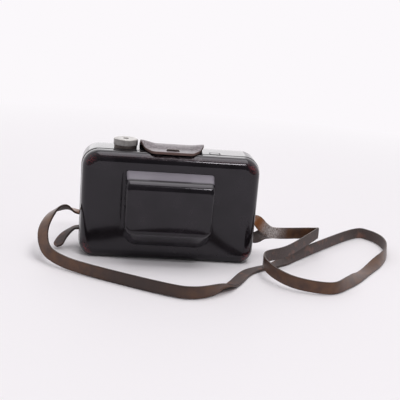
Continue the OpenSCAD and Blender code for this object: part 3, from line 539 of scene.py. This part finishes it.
class CaseSizes(bpy.types.PropertyGroup):
    """Sizes of the moulded case"""
    case_width: length("Width", "Width of the case", 128.8 * MM)
    case_height: length("Height", "Height of the case as it stands", 77.5 * MM)
    case_depth: length("Depth", "Depth of the case without its nose", 40 * MM)
    leather: length("Leather", "Thickness of the moulded leather", 1.6 * MM)
    upper_corner: length("Upper corners", "Radius of the upper corners seen from the front", 12.5 * MM)
    lower_corner: length("Lower corners", "Radius of the lower corners seen from the front", 10 * MM)
    corner_thinning: length("Corner thinning", "How much tighter the corners are inside", 1.3 * MM)
    front_round: length("Front rounding", "Rounding of the lid's front edges", 6.5 * MM)
    brow: length("Brow", "How far the lid's top falls from the seam to its front edge", 1.2 * MM)
    draft: length("Draft", "How far each side of the lid draws in from the seam to its front edge", 1.8 * MM)
    narrowing: FloatProperty(name="Narrowing", description="Share of the width lost at the foot", default=0.013)
    rim_round: length("Rim rounding", "Rounding of both rims at the seam", 1.3 * MM)
    nose_round: length("Nose rounding", "Rounding of the nose's upper front edge", 7 * MM)
    back_round: length("Back rounding", "Rounding of the back edges", 5 * MM)
    lid_depth: length("Lid depth", "Depth of the lid's rim", 12 * MM)
    seam_gap: length("Seam gap", "Gap between lid and case", 0.3 * MM)
    nose_depth: length("Nose depth", "How far the nose stands out", 18 * MM)
    nose_x: FloatProperty(name="Nose place", description="Sideways place of the nose", default=-1 * MM,
                          unit="LENGTH", precision=5)
    nose_base_half: length("Nose base", "Half width of the nose at its base", 31.7 * MM)
    nose_front_half: length("Nose front", "Half width of the nose at its front", 30.7 * MM)
    nose_base_top: length("Nose base top", "Upper edge of the nose at its base", 65.5 * MM)
    nose_base_low: length("Nose base low", "Lower edge of the nose at its base", 10.8 * MM)
    nose_front_top: length("Nose front top", "Upper edge of the nose at its front", 61.3 * MM)
    nose_front_low: length("Nose front low", "Lower edge of the nose at its front", 24 * MM)
    slot_length: length("Slot length", "Length of each strap slot", 10.5 * MM)
    slot_height: length("Slot height", "Height of each strap slot", 4 * MM)


class StrapSizes(bpy.types.PropertyGroup):
    """Sizes of the carrying strap"""
    strap_width: length("Width", "Width of the strap", 8.5 * MM)
    strap_thickness: length("Thickness", "Thickness of the strap", 1.6 * MM)
    steps: IntProperty(name="Steps", description="Rings between two points of the route", default=6, min=2, max=12)


class Finishes(bpy.types.PropertyGroup):
    """Colours of the main finishes"""
    case_black: colour("Case", "Black of the moulded leather", "#131114")
    strap_brown: colour("Strap", "Brown of the strap's outer face", "#4b362e")
    strap_flesh: colour("Strap inside", "Grey of the strap's inner face", "#4a4140")
    floor: colour("Floor", "Colour of the table", "#f3eff2")


# The stage

# The photograph's point of view, fitted to the edges of the case: place in metres, and angles in degrees
CAMERA_AT = (-0.04734, -0.71148, 0.20751)
CAMERA_AZIMUTH, CAMERA_HEIGHT, CAMERA_ROLL = (math.radians(a) for a in (-5.669, 13.044, 4.531))
LAMP_TARGET = Vector((0, 0, 0.04))
# The white of the surroundings
WHITE = "#fbf8fb"


class CASE_OT_stage(bpy.types.Operator):
    """Puts up the camera, the lamps, the table and the white surroundings"""
    bl_idname = "cased_camera.stage"
    bl_label = "Stage"

    @staticmethod
    def seen(tree):
        """1 for the rays that see the surroundings: straight, in a gloss or through glass."""
        path = put(tree, "LightPath").node
        out = path.outputs["Is Camera Ray"]
        for ray in ("Is Glossy Ray", "Is Transmission Ray"):
            out = put(tree, "Math", {0: out, 1: path.outputs[ray]}, operation="MAXIMUM")
        return out

    def execute(self, context):
        scene = context.scene
        scene.view_settings.view_transform = "Standard"
        eye = bpy.data.cameras.new("photo_camera")
        eye.lens, eye.sensor_width = 90, 36
        camera = bpy.data.objects.new("photo_camera", eye)
        back = Vector((math.sin(CAMERA_AZIMUTH) * math.cos(CAMERA_HEIGHT),
                       -math.cos(CAMERA_AZIMUTH) * math.cos(CAMERA_HEIGHT), math.sin(CAMERA_HEIGHT)))
        right = (-back).cross(Vector((0, 0, 1))).normalized()
        up = right.cross(-back)
        c, s = math.cos(CAMERA_ROLL), math.sin(CAMERA_ROLL)
        turned = Matrix((c * right + s * up, -s * right + c * up, back)).transposed()
        camera.matrix_world = Matrix.Translation(CAMERA_AT) @ turned.to_4x4()
        context.collection.objects.link(camera)
        scene.camera = camera

        # Seamless pale table of satin card: lit and shaded near the object, and plain white far from it
        bm = bmesh.new()
        bmesh.ops.create_grid(bm, x_segments=8, y_segments=8, size=9)
        mat, tree, where = new_material("pale_table")
        away = put(tree, "VectorMath", {0: where}, "Value", operation="LENGTH")
        far = put(tree, "MapRange", {"Value": away, "From Min": 0.12, "From Max": 0.75})
        share = put(tree, "Math", {0: self.seen(tree), 1: far}, operation="MULTIPLY")
        card = put(tree, "BsdfPrincipled", {"Base Color": scene.finish.floor, "Roughness": 0.6,
                                            "Specular IOR Level": 0.2})
        white = put(tree, "Emission", {"Color": WHITE, "Strength": 1.0})
        put(tree, "OutputMaterial", {"Surface": put(tree, "MixShader", {0: share, 1: card, 2: white})})
        floor = finished("table", bm, [mat])

        # Lamps: name, place, size in metres and power in watts
        for name, place, size, power in (
            ("back_lamp", (-0.25, 1.5, 0.75), (1.35, 1.35), 4.2),
            ("key_lamp", (0.15, 0.05, 1.25), (1.0, 1.0), 8.0),
            ("strip_lamp", (0.29, -0.72, 1.05), (0.32, 0.11), 2.8),
            ("fill_lamp", (-0.9, -0.9, 0.9), (1.8, 1.8), 1.0),
        ):
            light = bpy.data.lights.new(name, "AREA")
            light.shape, light.energy = "RECTANGLE", power
            light.size, light.size_y = size
            lamp = bpy.data.objects.new(name, light)
            aim = LAMP_TARGET - Vector(place)
            lamp.matrix_world = Matrix.Translation(place) @ aim.to_track_quat("-Z", "Y").to_matrix().to_4x4()
            context.collection.objects.link(lamp)

        world = bpy.data.worlds.new("white_room")
        world.use_nodes = True
        tree = world.node_tree
        tree.nodes.clear()
        soft = put(tree, "Background", {"Color": "#f6f5f8", "Strength": 0.42})
        white = put(tree, "Background", {"Color": WHITE, "Strength": 1.0})
        room = put(tree, "MixShader", {0: self.seen(tree), 1: soft, 2: white})
        # The unlit half of the studio, in front of the object, is darker to all but the camera
        way = put(tree, "TexCoord", out="Generated")
        depth = put(tree, "SeparateXYZ", {"Vector": way}, "Y")
        unlit = put(tree, "MapRange", {"Value": depth, "From Min": -0.6, "From Max": 0.1,
                                       "To Min": 1.0, "To Max": 0.0})
        rays = put(tree, "LightPath").node.outputs
        share = layered(tree, "#707070", (rays["Is Glossy Ray"], "#ffffff"), (rays["Is Camera Ray"], "#000000"))
        share = put(tree, "Math", {0: share, 1: unlit}, operation="MULTIPLY")
        dark = put(tree, "Background", {"Color": WHITE, "Strength": 0.12})
        put(tree, "OutputWorld", {"Surface": put(tree, "MixShader", {0: share, 1: room, 2: dark})})
        scene.world = world
        return {"FINISHED"}


# The strap

FRONT, UP, DOWN = (0, -1, 0), (0, 0, 1), (0, 0, -1)
# Route of the middle of the strap in millimetres: point, and the direction of its width
STRAP_ROUTE = (
    ((-79, -5, 2.4), (0.55, -0.75, -0.2)), ((-75, 2, 8.5), (0.4, -0.88, -0.15)), ((-68, 6, 13.9), FRONT),
    ((-61.6, 6, 16.0), FRONT), ((-61.6, 6, 24.6), FRONT), ((-68, 6, 27.1), FRONT),
    ((-76, 2, 30), (0.35, -0.7, 0.6)), ((-83, -8, 28.5), (0.75, -0.4, 0.5)), ((-88, -24, 20), (0.85, -0.3, 0.4)),
    ((-85, -39, 10.5), (0.6, -0.3, 0.7)), ((-74, -50, 5.8), (0.2, -0.1, 0.95)), ((-52, -67, 4.6), UP),
    ((-4, -98, 4.6), UP), ((14, -103, 4.6), UP), ((30, -93, 4.4), (0.25, -0.25, 0.95)),
    ((43, -72, 1.6), (0.9, -0.4, 0.05)), ((58, -40, 1.1), (0.9, -0.45, 0)), ((79, -21, 1.1), (0.65, -0.75, 0)),
    ((103, 3, 4.6), (0.1, -0.1, -1)), ((156, 67, 4.6), DOWN), ((171, 67, 4.6), DOWN), ((177, 44, 4.6), DOWN),
    ((169, 10, 4.2), (0.2, 0, -0.95)), ((145, -28, 1.2), (0.8, -0.5, -0.1)), ((124, -64, 4.4), (0.3, -0.2, -0.95)),
    ((108, -80, 4.6), DOWN), ((84, -76, 6.4), DOWN), ((70, -58, 9.2), DOWN), ((69.5, -35, 10.8), DOWN),
    ((88, -21, 12.6), DOWN), ((115, 15.5, 16.2), DOWN), ((113.5, 18.6, 16.6), DOWN),
    ((82, 3.6, 19), (0, -0.1, -1)), ((73.5, 5.4, 22), (-0.3, -0.15, -0.94)), ((67.5, 6, 27.1), (0, -0.45, -0.9)),
    ((61.6, 6, 24.6), FRONT), ((61.6, 6, 16.0), FRONT), ((67.5, 6, 14.1), (0, -0.4, -0.92)),
    ((74, 7.2, 17), (0, -0.3, -0.95)), ((84, 6.9, 18.6), (0, -0.1, -1)),
)
# Cross-section of the strap from edge to edge and back: shares of half its width and of half its thickness
STRAP_SECTION = (
    (-1, -0.4), (-0.96, -0.85), (-0.8, -1), (-0.3, -1), (0.3, -1), (0.8, -1), (0.96, -0.85), (1, -0.4),
    (1, 0.4), (0.96, 0.85), (0.8, 1), (0.3, 1), (-0.3, 1), (-0.8, 1), (-0.96, 0.85), (-1, 0.4),
)
# The strap leaves the case at its left side halfway to this point of the route
STRAP_EXIT = 3


def through(points, steps):
    """A smooth curve through points, with steps rings between two of them."""
    out = []
    last = len(points) - 1
    for i in range(last):
        a, b, c, d = (points[max(0, min(last, i + k))] for k in (-1, 0, 1, 2))
        for k in range(steps):
            t = k / steps
            out.append(0.5 * (2 * b + (c - a) * t + (2 * a - 5 * b + 4 * c - d) * t * t
                              + (3 * b - a - 3 * c + d) * t ** 3))
    return out + [points[last]]


class CASE_OT_strap(bpy.types.Operator):
    """Lays the long carrying strap along its route, in at one side of the case and back in at the other"""
    bl_idname = "cased_camera.strap"
    bl_label = "Strap"

    def execute(self, context):
        sizes, finish = context.scene.strap_size, context.scene.finish
        middle = through([Vector(p) * MM for p, _ in STRAP_ROUTE], sizes.steps)
        widths = through([Vector(w) for _, w in STRAP_ROUTE], sizes.steps)
        run = [0.0]
        for a, b in zip(middle, middle[1:]):
            run.append(run[-1] + (b - a).length)
        half, thick = sizes.strap_width / 2, sizes.strap_thickness / 2
        bm = bmesh.new()
        rings, outer, share = [], [], []
        for i, point in enumerate(middle):
            along = (middle[min(i + 1, len(middle) - 1)] - middle[max(i - 1, 0)]).normalized()
            across = (widths[i] - along * widths[i].dot(along)).normalized()
            face = along.cross(across)
            tip = min(run[i], run[-1] - run[i]) / half
            narrow = math.sqrt(max(0.02, 1 - (1 - min(1.0, tip)) ** 2))
            ring = [point + across * (half * narrow * u) + face * (thick * w) for u, w in STRAP_SECTION]
            # No ring reaches below the table
            lift = max(0.0, 0.05 * MM - min(p.z for p in ring))
            rings.append([bm.verts.new(p + Vector((0, 0, lift))) for p in ring])
            outer += [float(w > 0) for _, w in STRAP_SECTION]
            share += [abs(u) for u, _ in STRAP_SECTION]
        for a, b in zip(rings, rings[1:]):
            for j in range(len(STRAP_SECTION)):
                k = (j + 1) % len(STRAP_SECTION)
                bm.faces.new((a[j], a[k], b[k], b[j]))
        bm.faces.new(rings[0][::-1])
        bm.faces.new(rings[-1])
        bmesh.ops.recalc_face_normals(bm, faces=bm.faces)
        piece = finished("carrying_strap", bm, [strap_leather(finish.strap_brown, finish.strap_flesh)], "case",
                         ["strap"])
        mesh = piece.data
        for name, values in (("outer", outer), ("across", share)):
            mesh.attributes.new(name, "FLOAT", "POINT").data.foreach_set("value", values)

        def spot(at_mm, reach_mm, full):
            """A rule that falls from 1 to 0 round a spot."""
            return lambda p: ease(full - (p - Vector(at_mm) * MM).length / (reach_mm * MM))

        left, right = spot((-67, 4, 25), 9, 1.4), spot((67, 4, 25), 9, 1.4)
        paint(mesh, "warm", lambda p: max(left(p), 0.7 * right(p)))
        # A darker patch painted on the middle of the strap's front stretch
        paint(mesh, "painted_patch", spot((-18, -86, 4), 42, 1.3))
        paint(mesh, "flaked", spot((79, 5, 20), 9, 1.3))
        tuple(middle[STRAP_EXIT * sizes.steps - sizes.steps // 2])
        [tuple(p) for p in middle]
        return {"FINISHED"}


# The case

# Strap slots in its sides: the heights of their middles, and their place in depth
SLOT_LEVELS, SLOT_PLACE = (14.7 * MM, 25.9 * MM), 6 * MM
# How far from each side the mouth in its foot ends
MOUTH_MARGIN = 13 * MM
# Square mark pressed in its top: outer and inner edges across and in depth, and how deep it is
MARK_ACROSS, MARK_IN_DEPTH = (27 * MM, 27.8 * MM, 34.2 * MM, 35 * MM), (-6.3 * MM, -5.2 * MM, -1 * MM, 0.1 * MM)
MARK_DEPTH = 0.5 * MM
# Lip under the lid: how far it stands out of the case and reaches into it, where it starts at each side, its wall
LIP_OUT, LIP_IN, LIP_SIDE, LIP_WALL = 4.6 * MM, 2 * MM, 58.3 * MM, 1.3 * MM


class CASE_OT_shell(bpy.types.Operator):
    """Moulds the back half of the case with its strap slots, open mouth and closing lip"""
    bl_idname = "cased_camera.shell"
    bl_label = "Case"

    def execute(self, context):
        s = context.scene.case_size
        seam = -s.case_depth / 2 + s.lid_depth + s.seam_gap / 2
        bm = rounded_block(s)
        cut(bm, (0, seam, 0), (0, 1, 0), drop_back=True)
        slots = [(z - s.slot_height / 2, z + s.slot_height / 2) for z in SLOT_LEVELS]
        y0, y1 = SLOT_PLACE - s.slot_length / 2, SLOT_PLACE + s.slot_length / 2
        mouth, mouth_end = s.case_width / 2 - MOUTH_MARGIN, s.case_depth / 2 - s.back_round
        grid_cuts(bm, 0, [x * MM for x in range(-50, 51, 10)] + [-mouth, mouth])
        grid_cuts(bm, 1, [y0, SLOT_PLACE, y1])
        grid_cuts(bm, 2, [z for pair in slots for z in pair] + [z * MM for z in (20.3, 36, 44, 52, 60)])
        grid_cuts(bm, 0, MARK_ACROSS)
        grid_cuts(bm, 1, MARK_IN_DEPTH)

        def in_mark(p, inner=False):
            """Whether a point lies within the outer or the inner edges of the square mark."""
            first, last = (1, 2) if inner else (0, 3)
            return MARK_ACROSS[first] < p.x < MARK_ACROSS[last] and MARK_IN_DEPTH[first] < p.y < MARK_IN_DEPTH[last]

        gone, groove = [], []
        for f in bm.faces:
            c = f.calc_center_median()
            if abs(c.x) > s.case_width / 2 - 0.1 * MM and y0 < c.y < y1 and any(a < c.z < b for a, b in slots):
                gone.append(f)
            if c.z < 0.1 * MM and abs(c.x) < mouth and c.y < mouth_end:
                gone.append(f)
            if c.z > s.case_height - 0.05 * MM and in_mark(c) and not in_mark(c, inner=True):
                groove.append(f)
        bmesh.ops.delete(bm, geom=gone, context="FACES")
        pressed = bmesh.ops.extrude_face_region(bm, geom=groove)
        bmesh.ops.delete(bm, geom=groove, context="FACES")
        bmesh.ops.translate(bm, vec=(0, 0, -MARK_DEPTH),
                            verts=[v for v in pressed["geom"] if isinstance(v, bmesh.types.BMVert)])
        sagged(bm, 0.08 * MM, 17 * MM, 3.0)
        rolled_rim(bm, s, 1)
        moulded(bm, s)
        piece = finished("case_back_shell", bm, CASE_LEATHERS, "case", ["case_back"])
        paint(piece.data, "wear", case_wear(s))
        # Painted shade in the seam's groove and in the groove of the pressed mark
        groove_shade = painted_seam_shade(s)
        paint(piece.data, "seam", lambda p: max(groove_shade(p), float(p.z < s.case_height - 0.3 * MM and in_mark(p))))
        wall = piece.modifiers.new("leather", "SOLIDIFY")
        wall.thickness, wall.offset, wall.use_even_offset = s.leather, -1, True
        wall.material_offset, wall.material_offset_rim = 1, 2

        # Lip that the lid closes over: a strip inside each side wall
        bm = rounded_block(s, s.leather + s.seam_gap)
        cut(bm, (0, seam - LIP_OUT, 0), (0, 1, 0), drop_back=True)
        cut(bm, (0, seam + LIP_IN, 0), (0, 1, 0), drop_front=True)
        grid_cuts(bm, 0, (-LIP_SIDE, LIP_SIDE))
        inner = [f for f in bm.faces if abs(f.calc_center_median().x) < LIP_SIDE]
        bmesh.ops.delete(bm, geom=inner, context="FACES")
        moulded(bm, s)
        lip = finished("closing_lip", bm, [CASE_LEATHERS[2], CASE_LEATHERS[1], CASE_LEATHERS[2]], "case")
        paint(lip.data, "wear", lambda p: 0.0)
        wall = lip.modifiers.new("leather", "SOLIDIFY")
        wall.thickness, wall.offset = LIP_WALL, -1
        return {"FINISHED"}


class CASE_OT_lid(bpy.types.Operator):
    """Moulds the front half of the case with the nose over the lens and the tongue over the controls"""
    bl_idname = "cased_camera.lid"
    bl_label = "Lid"

    def execute(self, context):
        s = context.scene.case_size
        outer, inner = lid_surface(s), lid_surface(s, s.leather)
        grid_cuts(outer, 0, [x * MM for x in range(-56, 57, 8)])
        grid_cuts(outer, 2, [z * MM for z in range(8, 72, 8)])
        for wall in (outer, inner):
            grid_cuts(wall, 1, [y * MM for y in (-9.7, -11, -12.5, -14)])
            grid_cuts(wall, 0, [side * x * MM for side in (-1, 1) for x in (43, 46, 49, 52)])
            grid_cuts(wall, 2, [z * MM for z in (64, 66, 68, 70, 71.5, 73)])
        left, right = s.nose_x - s.nose_base_half, s.nose_x + s.nose_base_half
        grid_cuts(outer, 0, [left - d * MM for d in (1.5, 2.2, 3, 3.8, 4.5)] + [right + d * MM for d in (1.6, 2.5)])
        moat(outer, s)
        sagged(outer, 0.1 * MM, 19 * MM, 8.0)
        rolled_rim(outer, s, -1)
        for wall in (outer, inner):
            moulded(wall, s)
        for f in inner.faces:
            f.material_index = 1
        bmesh.ops.reverse_faces(inner, faces=inner.faces)
        bm = bmesh.new()
        for wall in (outer, inner):
            mesh = bpy.data.meshes.new("lid_wall")
            wall.to_mesh(mesh)
            wall.free()
            bm.from_mesh(mesh)
            bpy.data.meshes.remove(mesh)
        made = bmesh.ops.bridge_loops(bm, edges=[e for e in bm.edges if e.is_boundary])
        for f in made["faces"]:
            f.material_index = 2
        # Tongue under the controls: a plate from the lid's rim to the back of the mouth
        half, thick = s.case_width / 2 - MOUTH_MARGIN - s.seam_gap, s.leather + 0.1 * MM
        y0, y1 = -s.case_depth / 2 + s.lid_depth - 2 * MM, s.case_depth / 2 - s.back_round
        tongue = bmesh.ops.create_cube(bm, size=1)["verts"]
        bmesh.ops.scale(bm, vec=(2 * half, y1 - y0, thick), verts=tongue)
        bmesh.ops.translate(bm, vec=(0, (y0 + y1) / 2, thick / 2), verts=tongue)
        piece = finished("front_lid", bm, CASE_LEATHERS, "lid", ["lid"])
        # Painted on the lid: wear, the nose's painted reflection, the rubbed streak and painted shade in the seam's
        # groove
        for name, rule in (("wear", case_wear(s)), ("painted_reflection", painted_reflection(s)), ("rubbed", rubbed(s)), ("seam", painted_seam_shade(s))):
            paint(piece.data, name, rule)
        softened(piece, 0.3 * MM)
        return {"FINISHED"}


# The hinge tab

# Its thickness, its gap over the case, the height of its bow behind the seam, and how far it hangs down the back
TAB_THICK, TAB_GAP, TAB_BOW, TAB_HANG = 1.8 * MM, 0.1 * MM, 2.0 * MM, 16 * MM
# Half its width at the front end and what it gains behind, and the radii of its front and rear corners
TAB_HALF, TAB_GAIN, TAB_FRONT_CORNER, TAB_REAR_CORNER = 15 * MM, 8 * MM, 2.5 * MM, 4 * MM
# The slit that the staple stands in: how far it lies before the seam, half its width and half its length
SLIT_PLACE, SLIT_ACROSS, SLIT_ALONG = 4.6 * MM, 4.8 * MM, 1.4 * MM


class CASE_OT_tab(bpy.types.Operator):
    """Lays the hinge tab over the seam, as one sheet of leather from the lid's front over the top and down the back"""
    bl_idname = "cased_camera.hinge_tab"
    bl_label = "Hinge tab"

    def execute(self, context):
        s = context.scene.case_size
        top, seam, back = s.case_height, -s.case_depth / 2 + s.lid_depth, s.case_depth / 2
        front, turn = -s.case_depth / 2 + 1.4 * MM, back - s.back_round
        flat, bend = turn - front, s.back_round + TAB_GAP

        def line(d):
            """Point of the sheet's under side, d metres along it from its front end: y and z."""
            if d < flat:
                y = front + d
                t = max(0.0, (y - seam) / (turn - seam))
                return y, top + TAB_GAP + TAB_BOW * math.sin(math.pi * t ** 0.8) ** 1.2
            angle = (d - flat) / bend
            if angle < math.pi / 2:
                return turn + bend * math.sin(angle), top - s.back_round + bend * math.cos(angle)
            return turn + bend, top - s.back_round - (d - flat - bend * math.pi / 2)

        whole = flat + bend * math.pi / 2 + TAB_HANG
        bm = bmesh.new()
        bmesh.ops.create_grid(bm, x_segments=32, y_segments=48, size=1)
        for v in bm.verts:
            u, d = v.co.x, (v.co.y + 1) / 2 * whole
            y, z = line(d)
            half = TAB_HALF + TAB_GAIN * (ease((y - front) / (19 * MM)) ** 0.9 if d < flat else 1)
            half -= drawn_in(d, TAB_FRONT_CORNER) + drawn_in(whole - d, TAB_REAR_CORNER)
            x = u * half
            # Its side edges curl up over the seam, the left one more
            curl = ease((-x - 9 * MM) / (14 * MM)) * 2.8 * MM + ease((x - 11 * MM) / (12 * MM)) * 1.6 * MM
            curl *= math.exp(-((y + 1 * MM) / (7 * MM)) ** 2)
            v.co = (x, y, z + curl + TAB_THICK / 2)
        staple = seam - SLIT_PLACE
        grid_cuts(bm, 0, (-SLIT_ACROSS, SLIT_ACROSS))
        grid_cuts(bm, 1, (staple - SLIT_ALONG, staple + SLIT_ALONG))
        hole = [f for f in bm.faces if abs(f.calc_center_median().x) < SLIT_ACROSS
                and abs(f.calc_center_median().y - staple) < SLIT_ALONG]
        bmesh.ops.delete(bm, geom=hole, context="FACES")
        bmesh.ops.recalc_face_normals(bm, faces=bm.faces)
        if sum(f.normal.z for f in bm.faces) < 0:
            bmesh.ops.reverse_faces(bm, faces=bm.faces)
        piece = finished("hinge_tab_sheet", bm, [tab_leather(), raw_leather("tab_cut_edge", "#5a4440", "#7b655f")],
                         stands_for=["tab_base", "tab_end"])
        wall = piece.modifiers.new("leather", "SOLIDIFY")
        wall.thickness, wall.offset, wall.material_offset_rim = TAB_THICK, 0, 1
        softened(piece, 0.25 * MM)
        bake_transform(piece)
        return {"FINISHED"}


# The case screw

class CASE_OT_screw(bpy.types.Operator):
    """Turns the knurled aluminium screw that holds the camera in the case"""
    bl_idname = "cased_camera.case_screw"
    bl_label = "Case screw"

    def execute(self, context):
        low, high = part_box("retaining_screw")
        place = Vector(((low[0] + high[0]) / 2, (low[1] + high[1]) / 2, 0))
        head, foot = high[2] - 0.8 * MM, high[2] - 4.4 * MM
        top, skirt, bore = head / MM, foot / MM, 2.0
        # Profile from the rim of the shank up and over the head into its threaded hole: radius, height, knurled
        profile = ((3.1, low[2] / MM, 0), (3.1, skirt, 0), (8.3, skirt, 0), (8.3, skirt - 0.9, 0),
                   (8.5, skirt - 1.0, 0), (8.7, skirt - 0.8, 1), (8.7, top - 0.75, 1), (8.35, top - 0.3, 0),
                   (7.7, top, 0), (6.2, top, 0), (5.9, top - 0.12, 0), (2.6, top - 0.12, 0), (2.2, top - 0.12, 0),
                   (bore, top - 0.35, 0), (bore, top - 3, 0))
        teeth, per_tooth = 60, 3
        bm = bmesh.new()
        ring = bmesh.ops.create_circle(bm, segments=teeth * per_tooth, radius=profile[0][0] * MM,
                                       cap_ends=True)["verts"]
        bmesh.ops.translate(bm, vec=(0, 0, profile[0][1] * MM), verts=ring)
        edges = bm.edges[:]
        for radius, height, knurled in profile[1:]:
            made = bmesh.ops.extrude_edge_only(bm, edges=edges)["geom"]
            ring = [g for g in made if isinstance(g, bmesh.types.BMVert)]
            edges = [g for g in made if isinstance(g, bmesh.types.BMEdge) and all(v in ring for v in g.verts)]
            for v in ring:
                angle = math.atan2(v.co.y, v.co.x)
                index = round(angle / (2 * math.pi) * teeth * per_tooth)
                r = (radius - (0.3 if knurled and index % per_tooth == 0 else 0)) * MM
                v.co = (r * math.cos(angle), r * math.sin(angle), height * MM)
        bmesh.ops.contextual_create(bm, geom=edges)
        bmesh.ops.translate(bm, vec=place, verts=bm.verts)
        bmesh.ops.recalc_face_normals(bm, faces=bm.faces)
        for f in bm.faces:
            c = f.calc_center_median()
            f.material_index = int((c - place).xy.length < (bore + 0.1) * MM and c.z < head)
        finished("knurled_case_screw", bm, [SLOT_FINISHES["turned_aluminium"], SLOT_FINISHES["blackened_steel"]],
                 "screw", ["retaining_screw"], sharp=math.radians(28))
        return {"FINISHED"}


# Finishes of the CAD nodes that stay

# The finish of each material slot, and the leather of the case at its face, its flesh side and its cut edges
SLOT_FINISHES = {}
CASE_LEATHERS = []


class CASE_OT_finishes(bpy.types.Operator):
    """Makes the materials, and gives each CAD node that stays the one of its slot"""
    bl_idname = "cased_camera.finishes"
    bl_label = "Finishes"

    def execute(self, context):
        finish = context.scene.finish
        CASE_LEATHERS[:] = [
            moulded_leather(finish.case_black),
            raw_leather("case_flesh_side", "#3b2a22", "#5a4334"),
            raw_leather("case_cut_edge", "#2a1f1c", "#4a342b", 0.6),
        ]
        SLOT_FINISHES.update({
            "moulded_leather": CASE_LEATHERS[0],
            # Lathe-turned and knurled aluminium, dulled by air and fingers
            "turned_aluminium": metal("turned_aluminium", "#bdbbb8", "#9b9895", 0.42, (1, 1, 0.12)),
            # Steel blackened by oxide: dark with a soft steel sheen
            "blackened_steel": metal("blackened_steel", "#6d6563", "#877e78", 0.5),
            # Heat-blued spring and shutter steel: very dark, thin and even
            "blued_steel": metal("blued_steel", "#2c2e36", "#393c46", 0.3),
            # Satin chrome plate on brass: pale, fine and even, as camera tops have
            "satin_chrome": metal("satin_chrome", "#cfcdc8", "#bdbab4", 0.26),
            # Sand-cast light alloy painted inside: grey and grainy
            "cast_alloy": metal("cast_alloy", "#8b8b8c", "#6f6f71", 0.5),
            # Turned brass, a little tarnished
            "brass": metal("brass", "#b08d4a", "#8d6f3b", 0.3, (1, 1, 0.2)),
            # Bright spring steel
            "spring_steel": metal("spring_steel", "#a9a7a3", "#8f8d88", 0.28, (1, 0.2, 1)),
            # Black paper-backed covering with a pressed grain
            "black_covering": lacquer("black_covering", "#1d1c1e", "#272527", 0.5, 0.8 * MM, 0.25 * MM),
            # Stove-black lacquer on metal
            "black_lacquer": lacquer("black_lacquer", "#18181a", "#222224", 0.28, 1.6 * MM, 0.02 * MM),
            "optical_glass": glass("optical_glass", "#eef0fb"),
            "window_glass": glass("window_glass", "#f2f7f4"),
            "tab_leather": raw_leather("dark_strap_loop", "#2b2422", "#3d3431", 0.5),
            "strap_leather": raw_leather("strap_plain", "#4a382f", "#5b463b", 0.5),
        })
        for part in frame["record"]["subparts"]:
            node = frame["nodes"][part["node"]]
            node.data.materials.clear()
            node.data.materials.append(SLOT_FINISHES[part["material_slot"]])
        return {"FINISHED"}


class CASE_PT_panel(bpy.types.Panel):
    """Buttons and sizes of the cased camera"""
    bl_idname = "CASE_PT_panel"
    bl_label = "Cased camera"
    bl_space_type = "VIEW_3D"
    bl_region_type = "UI"
    bl_category = "Cased camera"

    def draw(self, context):
        for group in ("case_size", "strap_size", "finish"):
            settings = getattr(context.scene, group)
            box = self.layout.box()
            for key in settings.__annotations__:
                box.prop(settings, key)
        for operator in OPERATORS:
            self.layout.operator(operator.bl_idname)


OPERATORS = (CASE_OT_stage, CASE_OT_finishes, CASE_OT_strap, CASE_OT_shell, CASE_OT_lid, CASE_OT_tab, CASE_OT_screw)
CLASSES = (CaseSizes, StrapSizes, Finishes, *OPERATORS, CASE_PT_panel)


def register():
    for c in CLASSES:
        bpy.utils.register_class(c)
    bpy.types.Scene.case_size = PointerProperty(type=CaseSizes)
    bpy.types.Scene.strap_size = PointerProperty(type=StrapSizes)
    bpy.types.Scene.finish = PointerProperty(type=Finishes)


def unregister():
    for group in ("case_size", "strap_size", "finish"):
        delattr(bpy.types.Scene, group)
    for c in reversed(CLASSES):
        bpy.utils.unregister_class(c)


def main():
    register()
    bpy.ops.cased_camera.stage()
    bpy.ops.cased_camera.finishes()
    bpy.ops.cased_camera.strap()
    bpy.ops.cased_camera.shell()
    bpy.ops.cased_camera.lid()
    bpy.ops.cased_camera.hinge_tab()
    bpy.ops.cased_camera.case_screw()


if __name__ == "__main__":
    main()
